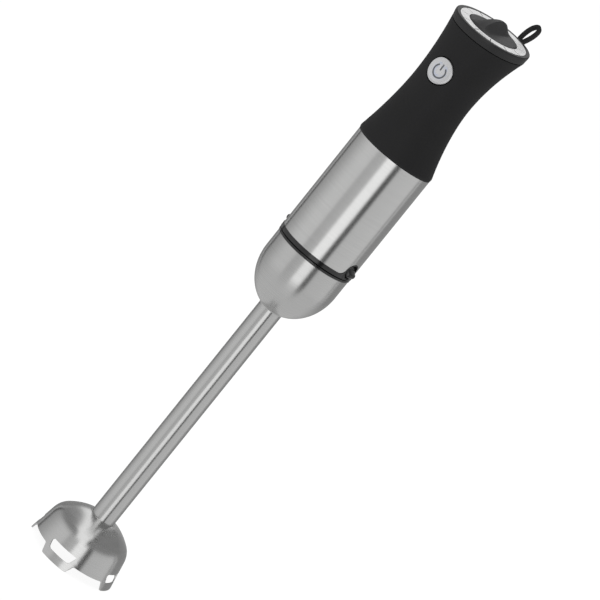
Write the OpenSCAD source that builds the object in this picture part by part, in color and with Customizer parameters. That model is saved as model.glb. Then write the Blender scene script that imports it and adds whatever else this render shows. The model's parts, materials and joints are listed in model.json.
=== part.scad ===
// Immersion blender: a motor unit with a waisted grip, and a pull-off blending
// shaft with a four-legged bell. +Z runs up the long axis, the front (power
// button) faces -Y, and the origin is the centre of the plane under the feet.

/* [Motor unit] */
// Outside diameter of the steel housing sleeve
body_d = 53; // [44:0.5:64]
// Length of the steel housing sleeve
housing_len = 73.8; // [62:0.2:90]
// Wall of the steel housing sleeve
sleeve_wall = 0.8; // [0.6:0.1:1.2]
// Height of the black coupling collar's ring
collar_h = 2.9; // [2.4:0.1:4]
// How far the collar's ring stands out from the sleeve
collar_proud = 0.35; // [0.2:0.05:0.8]
// Depth of the collar's nose in the blending shaft
nose_depth = 9; // [7:0.5:9.5]

/* [Grip] */
// Length of the grip from the housing to the centre of the top face
grip_len = 94; // [86:0.5:112]
// How far the grip's foot swells beyond the sleeve, before its edge is rounded
foot_proud = 0.8; // [0.4:0.1:1.4]
// Diameter of the grip's waist
waist_d = 40; // [38:0.5:48]
// Height of the waist above the grip's foot
waist_h = 47.4; // [42:0.2:52]
// How far the waist's centre sits towards the front
waist_shift = 3.9; // [0:0.1:4.5]
// Wall of the soft grip cover
cover_wall = 1.8; // [1.4:0.1:2.2]
// Wall of the rigid grip frame
frame_wall = 2; // [1.6:0.1:2.4]
// Slope of the top face, down towards the front
top_slant = 8; // [0:0.5:10]

/* [Top cap and dial] */
// Diameter of the top cap
cap_d = 52.2; // [50:0.1:54]
// Height of the top cap
cap_h = 5.5; // [5:0.1:7]
// Outside diameter of the silver scale ring
scale_d = 46.6; // [44:0.1:48]
// Diameter of the speed dial
dial_d = 33; // [27:0.1:40]
// Height of the dial's finger ridge above the dial's face
ridge_h = 7.4; // [4:0.1:9]
// Turn of the ridge from the front at rest
ridge_turn = 9; // [0:1:20]
// Radial gap round the dial
dial_gap = 0.4; // [0.3:0.05:0.8]
// Diameter of the potentiometer's shaft
pot_shaft_d = 6; // [5:0.5:7]

/* [Power button] */
// Diameter of the power button
button_d = 17; // [14:0.1:21]
// Height of the button's centre above the grip's foot
button_h = 58.8; // [54:0.2:66]
// Gap round the button in the grip cover
button_gap = 0.8; // [0.5:0.1:1.2]
// Travel of the power button
button_travel = 1.5; // [1:0.1:2]

/* [Release buttons] */
// Height of the two release buttons above the sleeve's lower edge
release_h = 3.8; // [3.4:0.1:5]
// How far each release button stands out from the collar
release_proud = 2.9; // [2:0.1:3.5]
// Travel of the release buttons
release_travel = 2.2; // [1.5:0.1:2.6]
// Diameter of the round lobe that holds a release button
lobe_d = 13.2; // [11:0.1:14]

/* [Cord inlet and loop] */
// Diameter of the cord hole
cord_hole_d = 7.2; // [6:0.1:8]
// Depth of the cord inlet below the seam of the top cap
inlet_drop = 8.4; // [8:0.1:14]
// Turn of the inlet and the loop from the back
inlet_turn = 8; // [0:1:15]
// Length of the cord inlet outside the grip
inlet_len = 9; // [6:0.5:12]
// Outside width of the hanging loop
loop_w = 8.6; // [8.2:0.1:11]
// Strap thickness of the hanging loop
loop_t = 1.6; // [1.4:0.1:1.8]
// Strap width of the hanging loop
loop_strap = 3; // [2.4:0.1:4]
// Lean of the loop away from the grip
loop_lean = 29; // [10:1:35]

/* [Blending shaft] */
// Height of the black ring on the blending shaft
lower_ring_h = 1.8; // [1.4:0.1:2.6]
// Height of the dome's straight wall
dome_wall_h = 12.8; // [12:0.2:18]
// Depth of the dome's rounded part
dome_depth = 30.9; // [28:0.1:38]
// Length of the steel tube from the bell to the dome's lowest point
tube_len = 167.7; // [130:0.5:210]
// Outside diameter of the steel tube
tube_d = 16.3; // [14:0.1:20]
// Wall of the steel tube, dome and bell
shell_wall = 0.8; // [0.6:0.1:1]
// Diameter of the drive shaft
shaft_d = 5; // [4:0.5:6]
// How far the blending shaft is drawn off
release_draw = 26; // [20:1:40]

/* [Bell and blade] */
// Diameter of the bell at its rim
bell_d = 59.8; // [54:0.2:72]
// Height of the bell from its rim to the tube
bell_h = 27.3; // [26:0.1:34]
// Radius at the bell's shoulder as far as the rim it stands in
shoulder_in = 2.9; // [2:0.1:4]
// Height of the bell's near-vertical wall
wall_h = 16.5; // [14:0.1:18]
// Drop of the four feet below the rim
foot_drop = 5.9; // [5:0.1:8]
// Number of feet
foot_count = 4; // [3:1:5]
// Turn of the first foot from the front
foot_turn = 12; // [0:1:45]
// Half angle of a foot where it leaves the rim
foot_half_top = 23.2; // [20:0.1:25]
// Half angle of a foot at its end
foot_half_end = 18; // [15:0.1:20]
// Height of a foot's window
window_h = 6.1; // [5:0.1:7]
// Span of the blade from tip to tip
blade_d = 42; // [36:0.5:44]
// Width of the blade
blade_w = 9; // [7:0.5:10]
// Thickness of the blade
blade_t = 1.2; // [1:0.1:1.6]

/* [Fits] */
// Radial running clearance of shafts in bushes and bearings
run_gap = 0.05; // [0.02:0.01:0.08]
// Gap between parts that move past each other
free_gap = 0.4; // [0.3:0.05:0.6]

/* [Hidden] */
$fn = 96;

// Heights of the joints between the outer pieces
z_rim = foot_drop;
z_neck = z_rim + bell_h;
z_apex = z_neck + tube_len;
z_dome = z_apex + dome_depth;
z_lower_ring = z_dome + dome_wall_h;
z_collar = z_lower_ring + lower_ring_h;
z_housing = z_collar + collar_h;
z_grip = z_housing + housing_len;
z_top = z_grip + grip_len;

// Radii that several pieces share
body_r = body_d / 2;
sleeve_in = body_r - sleeve_wall;
collar_r = body_r + collar_proud;
tube_r = tube_d / 2;
tube_in = tube_r - shell_wall;
shaft_r = shaft_d / 2;
dome_inset = 0.2;
dome_r = body_r - dome_inset;
nose_inset = 5;
nose_r = body_r - nose_inset;
nose_wall = 2.5;
nose_in = nose_r - nose_wall;
cap_r = cap_d / 2;
scale_r = scale_d / 2;
dial_r = dial_d / 2;
waist_r = waist_d / 2;
foot_r = body_r + foot_proud;

// Colours
steel = [0.74, 0.74, 0.73];
black = [0.07, 0.07, 0.075];
copper = [0.72, 0.4, 0.2];

// ---- Grip outline: rings that shift, tilt and swell away from the waist ----
seam_inset = 0.5;
seam_r = cap_r - seam_inset;
z_waist = z_grip + waist_h;
z_seam = z_top - cap_h * cos(top_slant);
seam_y = cap_h * sin(top_slant);
grip_rings = 20;
grip_sides = 40;
foot_edge = 2.2;
foot_inset = 0.9;
foot_power = 1.75;
top_power = 2;
ring_power = 1.25;
function ring_z(k) = z_grip + (z_seam - z_grip) * pow(k / grip_rings, ring_power);
function swell(z) = z < z_waist ? pow((z_waist - z) / (z_waist - z_grip), foot_power)
                                : pow((z - z_waist) / (z_seam - z_waist), top_power);
function edge_cut(z) = foot_inset * pow(max(0, 1 - (z - z_grip) / foot_edge), 2);
function grip_r(z) = waist_r + ((z < z_waist ? foot_r : seam_r) - waist_r) * swell(z) - edge_cut(z);
function grip_y(z) = -waist_shift * (1 - swell(z)) + (z > z_waist ? seam_y * swell(z) : 0);
function grip_tilt(z) = z > z_waist ? top_slant * (z - z_waist) / (z_seam - z_waist) : 0;
function ring_point(z, inset, a) =
    let (r = grip_r(z) - inset, y = r * sin(a), t = grip_tilt(z))
    [r * cos(a), grip_y(z) + y * cos(t), z + y * sin(t)];
function ring_points(inset) =
    [for (k = [0:grip_rings]) for (i = [0:grip_sides - 1])
        ring_point(ring_z(k), inset, 360 * i / grip_sides)];

// A hollow loft between the outline inset by "outer" and by "inner"
module grip_shell(outer, inner) {
    n = grip_sides;
    rows = grip_rings;
    base = (rows + 1) * n;
    skin = [for (k = [0:rows - 1]) for (i = [0:n - 1])
        let (j = (i + 1) % n) each [
            [k * n + i, (k + 1) * n + j, k * n + j], [k * n + i, (k + 1) * n + i, (k + 1) * n + j],
            [base + k * n + i, base + k * n + j, base + (k + 1) * n + j],
            [base + k * n + i, base + (k + 1) * n + j, base + (k + 1) * n + i]]];
    ends = [for (i = [0:n - 1])
        let (j = (i + 1) % n, t = rows * n) each [
            [i, j, base + j], [i, base + j, base + i],
            [t + i, base + t + j, t + j], [t + i, base + t + i, base + t + j]]];
    polyhedron(concat(ring_points(outer), ring_points(inner)), concat(skin, ends), convexity = 6);
}

// Places children in the slanted frame of the top face
module top_frame() {
    translate([0, 0, z_top]) rotate([top_slant, 0, 0]) children();
}

// A tube from z0 to z1
module tube(r_out, r_in, z0, z1) {
    translate([0, 0, z0]) difference() {
        cylinder(r = r_out, h = z1 - z0);
        translate([0, 0, -1]) cylinder(r = r_in, h = z1 - z0 + 2);
    }
}

// ---- Motor unit, outside ----
button_z = z_grip + button_h;
button_y = grip_y(button_z) - grip_r(button_z);
release_z = z_housing + release_h;
lobe_r = lobe_d / 2;
lobe_wall = 1.2;
lobe_back = 8;
lobe_past = 5;
notch_gap = 0.1;
spigot_over = 1.5;
pocket_r = lobe_r - lobe_wall;
pocket_x = nose_r - lobe_wall;
catch_stem_r = 1.6;
catch_w = 4;
catch_h = 3;
catch_z = z_collar - nose_depth + 2;
module along_x(x0, z) {
    translate([x0, 0, z]) rotate([0, 90, 0]) children();
}

// The outline of a lobe, seen along X, as a round head on a straight foot
module lobe_outline(grow, x0, x1) {
    translate([x0, 0, release_z]) rotate([0, 90, 0]) cylinder(r = lobe_r + grow, h = x1 - x0);
    translate([x0, -lobe_r - grow, z_housing - 0.5])
        cube([x1 - x0, 2 * (lobe_r + grow), release_h + 0.5]);
}

module motor_housing() {
    color(steel) difference() {
        tube(body_r, sleeve_in, z_housing, z_grip);
        for (side = [0, 180]) rotate([0, 0, side])
            lobe_outline(notch_gap, body_r - 1.5 * lobe_back, body_r + lobe_past);
    }
}

module coupling_collar() {
    spigot_top = release_z + lobe_r + spigot_over;
    color(black) difference() {
        union() {
            tube(collar_r, nose_in, z_collar, z_housing);
            tube(nose_r, nose_in, z_collar - nose_depth, z_collar);
            tube(sleeve_in, nose_in, z_housing, spigot_top);
            for (side = [0, 180]) rotate([0, 0, side]) intersection() {
                lobe_outline(0, body_r - lobe_back, body_r + lobe_past);
                tube(collar_r, sleeve_in - lobe_wall, z_housing - 1, spigot_top);
            }
        }
        for (side = [0, 180]) rotate([0, 0, side]) {
            along_x(pocket_x, release_z) cylinder(r = pocket_r + free_gap, h = body_r);
            along_x(5, release_z) cylinder(r = catch_stem_r + free_gap, h = body_r);
            translate([nose_r - 5, -catch_w / 2 - free_gap, catch_z - free_gap])
                cube([10, catch_w + 2 * free_gap, catch_h + 2 * free_gap]);
        }
    }
}

module grip_cover() {
    color(black) difference() {
        grip_shell(0, cover_wall);
        translate([0, -body_r - 5, button_z]) rotate([-90, 0, 0])
            cylinder(r = button_d / 2 + button_gap, h = body_r);
        gland_hole(0);
    }
}

module grip_frame() {
    color([0.16, 0.16, 0.17]) difference() {
        grip_shell(cover_wall, cover_wall + frame_wall);
        translate([0, -body_r - 5, button_z]) rotate([-90, 0, 0])
            cylinder(r = button_d / 2 + free_gap, h = body_r);
        gland_hole(0);
    }
}

cap_floor = 2.2;
cap_cut = 5;
scale_t = 1;
recess = 2.8;
hub_wall = 2;
hub_r = pot_shaft_d / 2 + hub_wall;
spigot_len = 4;
spigot_wall = 2;
spigot_dip = 1.5;
spigot_gap = 1;
spigot_r = grip_r(z_seam - spigot_len - spigot_dip) - cover_wall - frame_wall - spigot_gap;
edge_r = 2.2;
module top_cap() {
    arc = [for (a = [0:15:90])
        [cap_r - edge_r + edge_r * cos(a), -edge_r + edge_r * sin(a)]];
    color(black) top_frame() difference() {
        union() {
            rotate_extrude() polygon(concat([[0, -cap_h], [seam_r, -cap_h]], arc, [[0, 0]]));
            translate([0, 0, -cap_h - spigot_len]) cylinder(r = spigot_r, h = spigot_len + 1);
        }
        translate([0, 0, -scale_t]) cylinder(r = scale_r, h = cap_cut);
        translate([0, 0, -recess]) cylinder(r = dial_r + dial_gap, h = cap_cut);
        translate([0, 0, -cap_h - cap_cut])
            cylinder(r = spigot_r - spigot_wall, h = cap_cut + cap_h - recess - cap_floor);
        translate([0, 0, -cap_h - cap_cut]) cylinder(r = hub_r + free_gap, h = 2 * cap_cut + cap_h);
    }
}

module scale_ring() {
    color([0.86, 0.86, 0.85]) top_frame() tube(scale_r, dial_r + dial_gap, -scale_t, 0);
}

// ---- Cord inlet and hanging loop, at the back ----
gland_z = z_seam - inlet_drop;
gland_wall = 1.7;
gland_flange = 1.4;
gland_r = cord_hole_d / 2 + gland_wall;
gland_in = 15.5;
gland_out = cap_r + inlet_len;
module back_frame() {
    rotate([0, 0, -inlet_turn]) children();
}
module gland_hole(grow) {
    back_frame() translate([0, gland_in - 2, gland_z]) rotate([-90, 0, 0])
        cylinder(r = gland_r + grow, h = body_r);
}
module cord_gland() {
    color(black) back_frame() translate([0, 0, gland_z]) rotate([-90, 0, 0]) difference() {
        union() {
            translate([0, 0, gland_in]) cylinder(r = gland_r, h = gland_out - gland_in);
            translate([0, 0, gland_in - gland_flange]) cylinder(r = gland_r + 1, h = gland_flange);
        }
        translate([0, 0, gland_in - 5]) cylinder(r = cord_hole_d / 2, h = gland_out);
    }
}
loop_gap = 0.8;
loop_dip = 1.6;
loop_y = cap_r + loop_gap + loop_strap / 2;
loop_pivot = 1.2;
loop_z1 = z_top + cap_r * sin(top_slant) - loop_dip;
loop_len = 15.7;
module oval(w, len, d) {
    translate([0, -d / 2, w / 2]) rotate([-90, 0, 0]) cylinder(d = w, h = d);
    translate([0, -d / 2, len - w / 2]) rotate([-90, 0, 0]) cylinder(d = w, h = d);
    translate([-w / 2, -d / 2, w / 2]) cube([w, d, len - w]);
}
module hanging_loop() {
    hole_w = loop_w - 2 * loop_t;
    z_pivot = loop_z1 - loop_pivot;
    color(black) back_frame() difference() {
        union() {
            translate([-loop_w / 2, loop_y - loop_strap / 2, gland_z])
                cube([loop_w, loop_strap, loop_z1 - gland_z]);
            difference() {
                translate([0, loop_y, z_pivot]) rotate([-loop_lean, 0, 0])
                    translate([0, 0, -loop_w / 2]) oval(loop_w, loop_len + loop_w / 2 + loop_t, loop_strap);
                translate([-loop_w, 0, 0]) cube([2 * loop_w, 2 * loop_y, z_pivot]);
            }
        }
        translate([0, loop_y, z_pivot]) rotate([-loop_lean, 0, 0])
            oval(hole_w, loop_len, 4 * loop_strap);
        translate([0, gland_in, gland_z]) rotate([-90, 0, 0]) cylinder(r = gland_r, h = body_d);
    }
}

// ---- Speed dial ----
pot_top = -cap_h - free_gap;
pot_h = 9;
pot_r = 8.5;
pot_seat = 5;
hub_cover = 1.6;
dial_floor = recess - free_gap;
dial_over = 0.2;
ridge_w = 6;
ridge_lift = 0.3;
ridge_round = 1.25 * dial_r;
ridge_top = 30;
module speed_dial() {
    crest = ridge_h + ridge_lift;
    color([0.2, 0.2, 0.21]) top_frame() rotate([0, 0, ridge_turn]) difference() {
        union() {
            translate([0, 0, -dial_floor]) cylinder(r = dial_r, h = dial_floor + dial_over);
            intersection() {
                translate([0, 0, -dial_floor]) cylinder(r = dial_r, h = ridge_top);
                translate([0, 0, crest - ridge_round]) rotate([0, 90, 0])
                    translate([0, 0, -ridge_w / 2]) cylinder(r = ridge_round, h = ridge_w);
                translate([-ridge_w / 2, -dial_r, -1]) cube([ridge_w, 2 * dial_r, ridge_top]);
            }
            translate([0, 0, -cap_h]) cylinder(r = hub_r, h = cap_h - 1);
        }
        translate([0, 0, -cap_h - 1]) cylinder(r = pot_shaft_d / 2, h = cap_h + 1 - hub_cover);
    }
}
module potentiometer_shaft() {
    color(steel) top_frame() translate([0, 0, pot_top - pot_seat])
        cylinder(r = pot_shaft_d / 2, h = pot_seat - pot_top - hub_cover);
}
module potentiometer() {
    color([0.25, 0.35, 0.5]) top_frame() difference() {
        translate([0, 0, pot_top - pot_h]) cylinder(r = pot_r, h = pot_h);
        translate([0, 0, pot_top - pot_seat - 2 * run_gap])
            cylinder(r = pot_shaft_d / 2 + run_gap, h = pot_seat + 1);
    }
}

// ---- Power button and electronics in the grip ----
board_y = 1.5;
board_t = 1.6;
board_w = 20;
board_low = 8;
switch_t = 5.5;
switch_w = 12;
switch_face = board_y - switch_t;
stem_r = 3;
cap_depth = 4;
plate_t = 2.5;
stem_gap = 0.2;
stem_end = switch_face - button_travel - stem_gap;
key_sink = 0.5;
key_edge = 0.5;
key_y = button_y - key_sink;
module along_y(y0, z) {
    translate([0, y0, z]) rotate([-90, 0, 0]) children();
}
module power_button() {
    r = button_d / 2;
    rim = 1.1;
    dish = 0.4;
    color([0.85, 0.85, 0.86]) along_y(key_y, button_z) difference() {
        rotate_extrude() polygon([[0, 0], [r - key_edge, 0], [r, key_edge], [r, cap_depth], [0, cap_depth]]);
        translate([0, 0, -dish]) cylinder(r1 = r - rim, r2 = r - rim - 2 * dish, h = 2 * dish);
    }
}
module button_plunger() {
    y0 = key_y + cap_depth;
    color(black) union() {
        along_y(y0, button_z) cylinder(r = button_d / 2 - 1, h = plate_t);
        along_y(y0 + plate_t, button_z) cylinder(r = stem_r, h = stem_end - y0 - plate_t);
    }
}
// A coil of square-section rings joined by two rails, which stands for a wound spring
module spring_stack(r, wire, len, turns) {
    pitch = (len - wire) / (turns - 1);
    for (k = [0:turns - 1]) translate([0, 0, k * pitch]) difference() {
        cylinder(r = r, h = wire);
        translate([0, 0, -1]) cylinder(r = r - wire, h = wire + 2);
    }
    for (side = [0, 180]) rotate([0, 0, side])
        translate([r - wire, -wire / 2, 0]) cube([wire * 0.8, wire, len]);
}
module button_spring() {
    y0 = key_y + cap_depth + plate_t;
    color(steel) along_y(y0, button_z) spring_stack(stem_r + 1.6, 0.8, switch_face - y0, 5);
}
module power_switch() {
    color([0.1, 0.1, 0.1]) translate([-switch_w / 2, switch_face, button_z - switch_w / 2])
        cube([switch_w, switch_t, switch_w]);
}
module control_board() {
    color([0.1, 0.35, 0.18]) translate([-board_w / 2, board_y, z_grip + board_low])
        cube([board_w, board_t, button_h]);
}
module speed_triac() {
    size = [10, 4.4, 15];
    above_board = 36;
    color([0.12, 0.12, 0.12])
        translate([-size[0] / 2, board_y + board_t, z_grip + board_low + above_board]) cube(size);
}
module suppressor_capacitor() {
    size = [14, 8, 18];
    above_board = 4;
    color([0.75, 0.65, 0.15])
        translate([-size[0] / 2, board_y - size[1], z_grip + board_low + above_board]) cube(size);
}

// ---- Motor, inside the housing sleeve ----
z_low_brg = release_z + lobe_r + 2;
bracket_t = 4;
brg_r = 8;
brg_h = 5;
motor_air = 2.2;
motor_r = sleeve_in - motor_air;
core_in = motor_r * 0.55;
air_gap = 0.5;
armature_r = core_in - air_gap;
mshaft_r = 3;
shaft_over = 8;
z_fan = z_low_brg + bracket_t + 2;
fan_h = 7;
z_up_brg = z_grip - 9;
core_z0 = z_fan + fan_h + 5;
core_len = (z_up_brg - core_z0) * 0.5;
core_z1 = core_z0 + core_len;
coil_h = 3.5;
coil_in = 1.5;
comm_r = 6.5;
comm_z = core_z1 + coil_h + 1.5;
comm_len = z_up_brg - comm_z - 2;
brush_w = 5;
brush_z = comm_z + comm_len / 2;
screw_pcd_r = motor_r - 3;
screw_r = 1.5;
screw_head_r = 2.4;
screw_head_h = 2;
lead_r = 0.9;
vent_r = 3.2;
vent_pcd_r = brg_r + 6.5;

module bracket(z0, inner_lip) {
    difference() {
        tube(sleeve_in, brg_r, z0, z0 + bracket_t);
        for (a = [45:90:315]) rotate([0, 0, a]) translate([vent_pcd_r, 0, z0 - 1])
            cylinder(r = vent_r, h = bracket_t + 2);
        for (a = [0:90:270]) rotate([0, 0, a]) translate([screw_pcd_r, 0, z0 - 1])
            cylinder(r = screw_r, h = bracket_t + 2);
    }
    tube(brg_r + 1.5, brg_r, z0 + inner_lip, z0 + inner_lip + bracket_t);
}
module lower_bracket() {
    color([0.3, 0.3, 0.32]) bracket(z_low_brg, 0);
}
module upper_bracket() {
    color([0.3, 0.3, 0.32]) bracket(z_up_brg, 0);
}
module bearing(z0) {
    tube(brg_r, mshaft_r + run_gap, z0, z0 + brg_h);
}
module lower_bearing() {
    color(steel) bearing(z_low_brg - 1);
}
module upper_bearing() {
    color(steel) bearing(z_up_brg);
}
module field_core() {
    color([0.45, 0.45, 0.47]) difference() {
        tube(motor_r, core_in, core_z0, core_z1);
        for (a = [0:90:270]) rotate([0, 0, a]) translate([screw_pcd_r, 0, core_z0 - 1])
            cylinder(r = screw_r, h = core_len + 2);
    }
}
module field_coils() {
    coil_out = screw_pcd_r - 2;
    color(copper) union() {
        tube(coil_out, core_in, core_z0 - coil_h, core_z0);
        tube(coil_out, core_in, core_z1, core_z1 + coil_h);
    }
}
// Four long screws that clamp the two brackets and the core together
module bracket_screws() {
    color(steel) for (a = [0:90:270]) rotate([0, 0, a]) translate([screw_pcd_r, 0, 0]) {
        translate([0, 0, z_low_brg]) cylinder(r = screw_r, h = z_up_brg + bracket_t - z_low_brg);
        translate([0, 0, z_up_brg + bracket_t]) cylinder(r = screw_head_r, h = screw_head_h);
    }
}
module motor_mount() {
    color([0.12, 0.12, 0.12]) difference() {
        tube(sleeve_in, sleeve_in - 2, z_up_brg + bracket_t, z_grip);
        for (a = [0:90:270]) rotate([0, 0, a]) translate([screw_pcd_r, 0, z_up_brg + bracket_t - 1])
            cylinder(r = screw_head_r + free_gap, h = z_grip - z_up_brg);
    }
}
holder_out = screw_pcd_r - 2.5;
holder_in = comm_r + 2;
holder_wall = 1.2;
module brush_holders() {
    w = brush_w + 2 * holder_wall;
    color([0.7, 0.6, 0.25]) for (side = [45, 225]) rotate([0, 0, side]) difference() {
        translate([holder_in, -w / 2, brush_z - w / 2])
            cube([holder_out - holder_in, w, z_up_brg - brush_z + w / 2]);
        translate([holder_in - 1, -brush_w / 2, brush_z - brush_w / 2])
            cube([holder_out - holder_in, brush_w, brush_w]);
    }
}
module carbon_brushes() {
    color([0.15, 0.15, 0.15]) for (side = [45, 225]) rotate([0, 0, side]) difference() {
        translate([comm_r - 1, -brush_w / 2, brush_z - brush_w / 2])
            cube([holder_out - comm_r - 2.5, brush_w, brush_w]);
        translate([0, 0, brush_z - brush_w]) cylinder(r = comm_r + 0.3, h = 2 * brush_w);
    }
}
module brush_springs() {
    color(steel) for (side = [45, 225]) rotate([0, 0, side])
        translate([holder_out - 3.5, 0, brush_z]) rotate([0, 90, 0])
            spring_stack(1.8, 0.5, 2.5, 3);
}
module motor_leads() {
    color([0.6, 0.1, 0.1]) for (side = [45, 225]) rotate([0, 0, side])
        translate([vent_pcd_r, 0, z_up_brg + 0.2])
            cylinder(r = lead_r, h = z_grip + 14 - z_up_brg);
}

// ---- Rotor ----
module motor_shaft() {
    color(steel) translate([0, 0, z_low_brg - shaft_over])
        cylinder(r = mshaft_r, h = z_up_brg + brg_h + shaft_over - z_low_brg);
}
module armature() {
    color([0.5, 0.5, 0.52]) tube(armature_r, mshaft_r, core_z0, core_z1);
}
module armature_windings() {
    color(copper) union() {
        tube(armature_r - coil_in, mshaft_r, core_z0 - coil_h, core_z0);
        tube(armature_r - coil_in, mshaft_r, core_z1, core_z1 + coil_h);
    }
}
module commutator() {
    slots = 12;
    color(copper) difference() {
        tube(comm_r, mshaft_r, comm_z, comm_z + comm_len);
        for (k = [0:slots - 1]) rotate([0, 0, (k + 0.5) * 360 / slots])
            translate([comm_r - 0.6, -0.2, comm_z - 1]) cube([2, 0.4, comm_len + 2]);
    }
}
fan_r = motor_r - 5.5;
fan_plate = 1.2;
module cooling_fan() {
    blades = 9;
    color([0.2, 0.2, 0.22]) union() {
        tube(fan_r, mshaft_r, z_fan, z_fan + fan_plate);
        tube(mshaft_r + 2, mshaft_r, z_fan, z_fan + fan_h);
        for (k = [0:blades - 1]) rotate([0, 0, k * 360 / blades])
            translate([mshaft_r + 1, -fan_plate / 2, z_fan + fan_plate / 2])
                cube([fan_r - mshaft_r - 1.5, fan_plate, fan_h - fan_plate / 2]);
    }
}
// The drive: a cross-lobed male coupler in a matching socket
coupler_r = 5;
lobe_w = 3;
z_male = z_collar - 6;
z_socket = z_male - 3;
module cross(r, w, h) {
    cylinder(r = r * 0.6, h = h);
    for (a = [0, 90]) rotate([0, 0, a]) translate([-r, -w / 2, 0]) cube([2 * r, w, h]);
}
module drive_coupler() {
    top = z_low_brg - 2;
    color(black) difference() {
        union() {
            translate([0, 0, z_male]) cross(coupler_r, lobe_w, 8);
            translate([0, 0, z_male + 7.5]) cylinder(r = coupler_r + 1.5, h = top - z_male - 7.5);
        }
        translate([0, 0, z_low_brg - shaft_over]) cylinder(r = mshaft_r, h = 20);
    }
}

// ---- Release buttons ----
button_back = pocket_x + release_travel + 1.6;
catch_in = nose_r - 5.6;
module release_button() {
    tip = collar_r + release_proud;
    color(black) difference() {
        union() {
            intersection() {
                along_x(button_back, release_z) cylinder(r = pocket_r, h = tip - button_back);
                cylinder(r = tip, h = z_top);
            }
            along_x(catch_in, release_z) cylinder(r = catch_stem_r, h = button_back - catch_in + 0.5);
            translate([catch_in, -catch_w / 2, catch_z])
                cube([2, catch_w, release_z + catch_stem_r - catch_z]);
            translate([catch_in, -catch_w / 2, catch_z]) cube([nose_r - 0.2 - catch_in, catch_w, catch_h]);
        }
        translate([collar_r + 0.4, -pocket_r, release_z - pocket_r - 1]) cube([10, 2 * pocket_r, 2]);
    }
}
module release_button_right() {
    release_button();
}
module release_button_left() {
    rotate([0, 0, 180]) release_button();
}
module release_spring() {
    color(steel) along_x(pocket_x, release_z)
        spring_stack(catch_stem_r + 1.4, 0.6, button_back - pocket_x, 4);
}
module release_spring_right() {
    release_spring();
}
module release_spring_left() {
    rotate([0, 0, 180]) release_spring();
}

// ---- Blending shaft ----
socket_floor = z_collar - nose_depth - 2;
floor_t = 2;
z_tube_top = z_dome - 14;
z_tube_end = z_neck - 4;
bush_len = 14;
seal_len = 5;
ring_proud = 0.15;
module attachment_ring() {
    color(black) tube(body_r + ring_proud, nose_r + free_gap, z_lower_ring, z_collar);
}
module attachment_socket() {
    out = dome_r - shell_wall;
    color([0.15, 0.15, 0.16]) union() {
        tube(out, nose_r + free_gap, socket_floor - 0.5, z_lower_ring);
        tube(out, coupler_r + 1.4, socket_floor - floor_t, socket_floor);
        tube(tube_r + 2, tube_r, z_tube_top - 8, socket_floor - floor_t + 0.5);
    }
}
dome_steps = 28;
function dome_arc(r, h) =
    [for (k = [0:dome_steps]) let (a = 90 * k / dome_steps) [r * sin(a), z_dome - h * cos(a)]];
module shaft_dome() {
    outer = [for (p = dome_arc(dome_r, dome_depth)) if (p[0] > tube_r) p];
    inner = [for (p = dome_arc(dome_r - shell_wall, dome_depth - shell_wall)) if (p[0] > tube_r) p];
    function dome_z(r, h, p) = z_dome - h * sqrt(1 - pow(p / r, 2));
    lower = [tube_r, dome_z(dome_r, dome_depth, tube_r)];
    upper = [tube_r, dome_z(dome_r - shell_wall, dome_depth - shell_wall, tube_r)];
    n = len(inner) - 1;
    color(steel) rotate_extrude() polygon(concat([lower], outer,
        [[dome_r, z_lower_ring], [dome_r - shell_wall, z_lower_ring]],
        [for (k = [0:n]) inner[n - k]], [upper]));
}
module shaft_tube() {
    color(steel) tube(tube_r, tube_in, z_tube_end, z_tube_top);
}
module upper_bush() {
    color([0.7, 0.6, 0.35]) tube(tube_in, shaft_r + run_gap, z_tube_top - bush_len, z_tube_top);
}
module lower_bush() {
    color([0.7, 0.6, 0.35]) tube(tube_in, shaft_r + run_gap,
        z_tube_end + seal_len, z_tube_end + seal_len + bush_len);
}
module shaft_seal() {
    color([0.3, 0.1, 0.08]) tube(tube_in, shaft_r + run_gap, z_tube_end, z_tube_end + seal_len);
}

// ---- Bell: a shallow cone, a rounded shoulder and a flared wall ----
bell_r = bell_d / 2;
neck_p = [tube_r, z_neck];
shoulder_p = [bell_r - shoulder_in, z_rim + wall_h];
rim_p = [bell_r, z_rim];
flare = shoulder_in / wall_h;
feet_p = [bell_r + flare * z_rim, 0];
cone_rise = 2;
round_part = 0.15;
function mix(a, b, t) = a + (b - a) * t;
function cone_at(t) = mix(neck_p, shoulder_p, t) + [0, cone_rise * 4 * t * (1 - t)];
round_a = cone_at(1 - round_part);
round_b = mix(shoulder_p, rim_p, 2 * round_part);
function round_at(t) = mix(mix(round_a, shoulder_p, t), mix(shoulder_p, round_b, t), t);
cone_steps = 12;
round_steps = 8;
bell_line = concat([for (k = [0:cone_steps]) cone_at((1 - round_part) * k / cone_steps)],
                   [for (k = [1:round_steps]) round_at(k / round_steps)], [feet_p]);
function unit(v) = v / norm(v);
function inward(k) =
    let (n = len(bell_line) - 1, d = unit(bell_line[min(n, k + 1)] - bell_line[max(0, k - 1)]))
    [d[1], -d[0]];
bell_inner = [for (k = [0:len(bell_line) - 1])
    let (p = bell_line[k] + inward(k) * shell_wall) [k == 0 ? tube_r : p[0], p[1]]];
window_low = 0.6;
window_half_top = foot_half_top - 3;
window_half_end = foot_half_end - 2.6;
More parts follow.
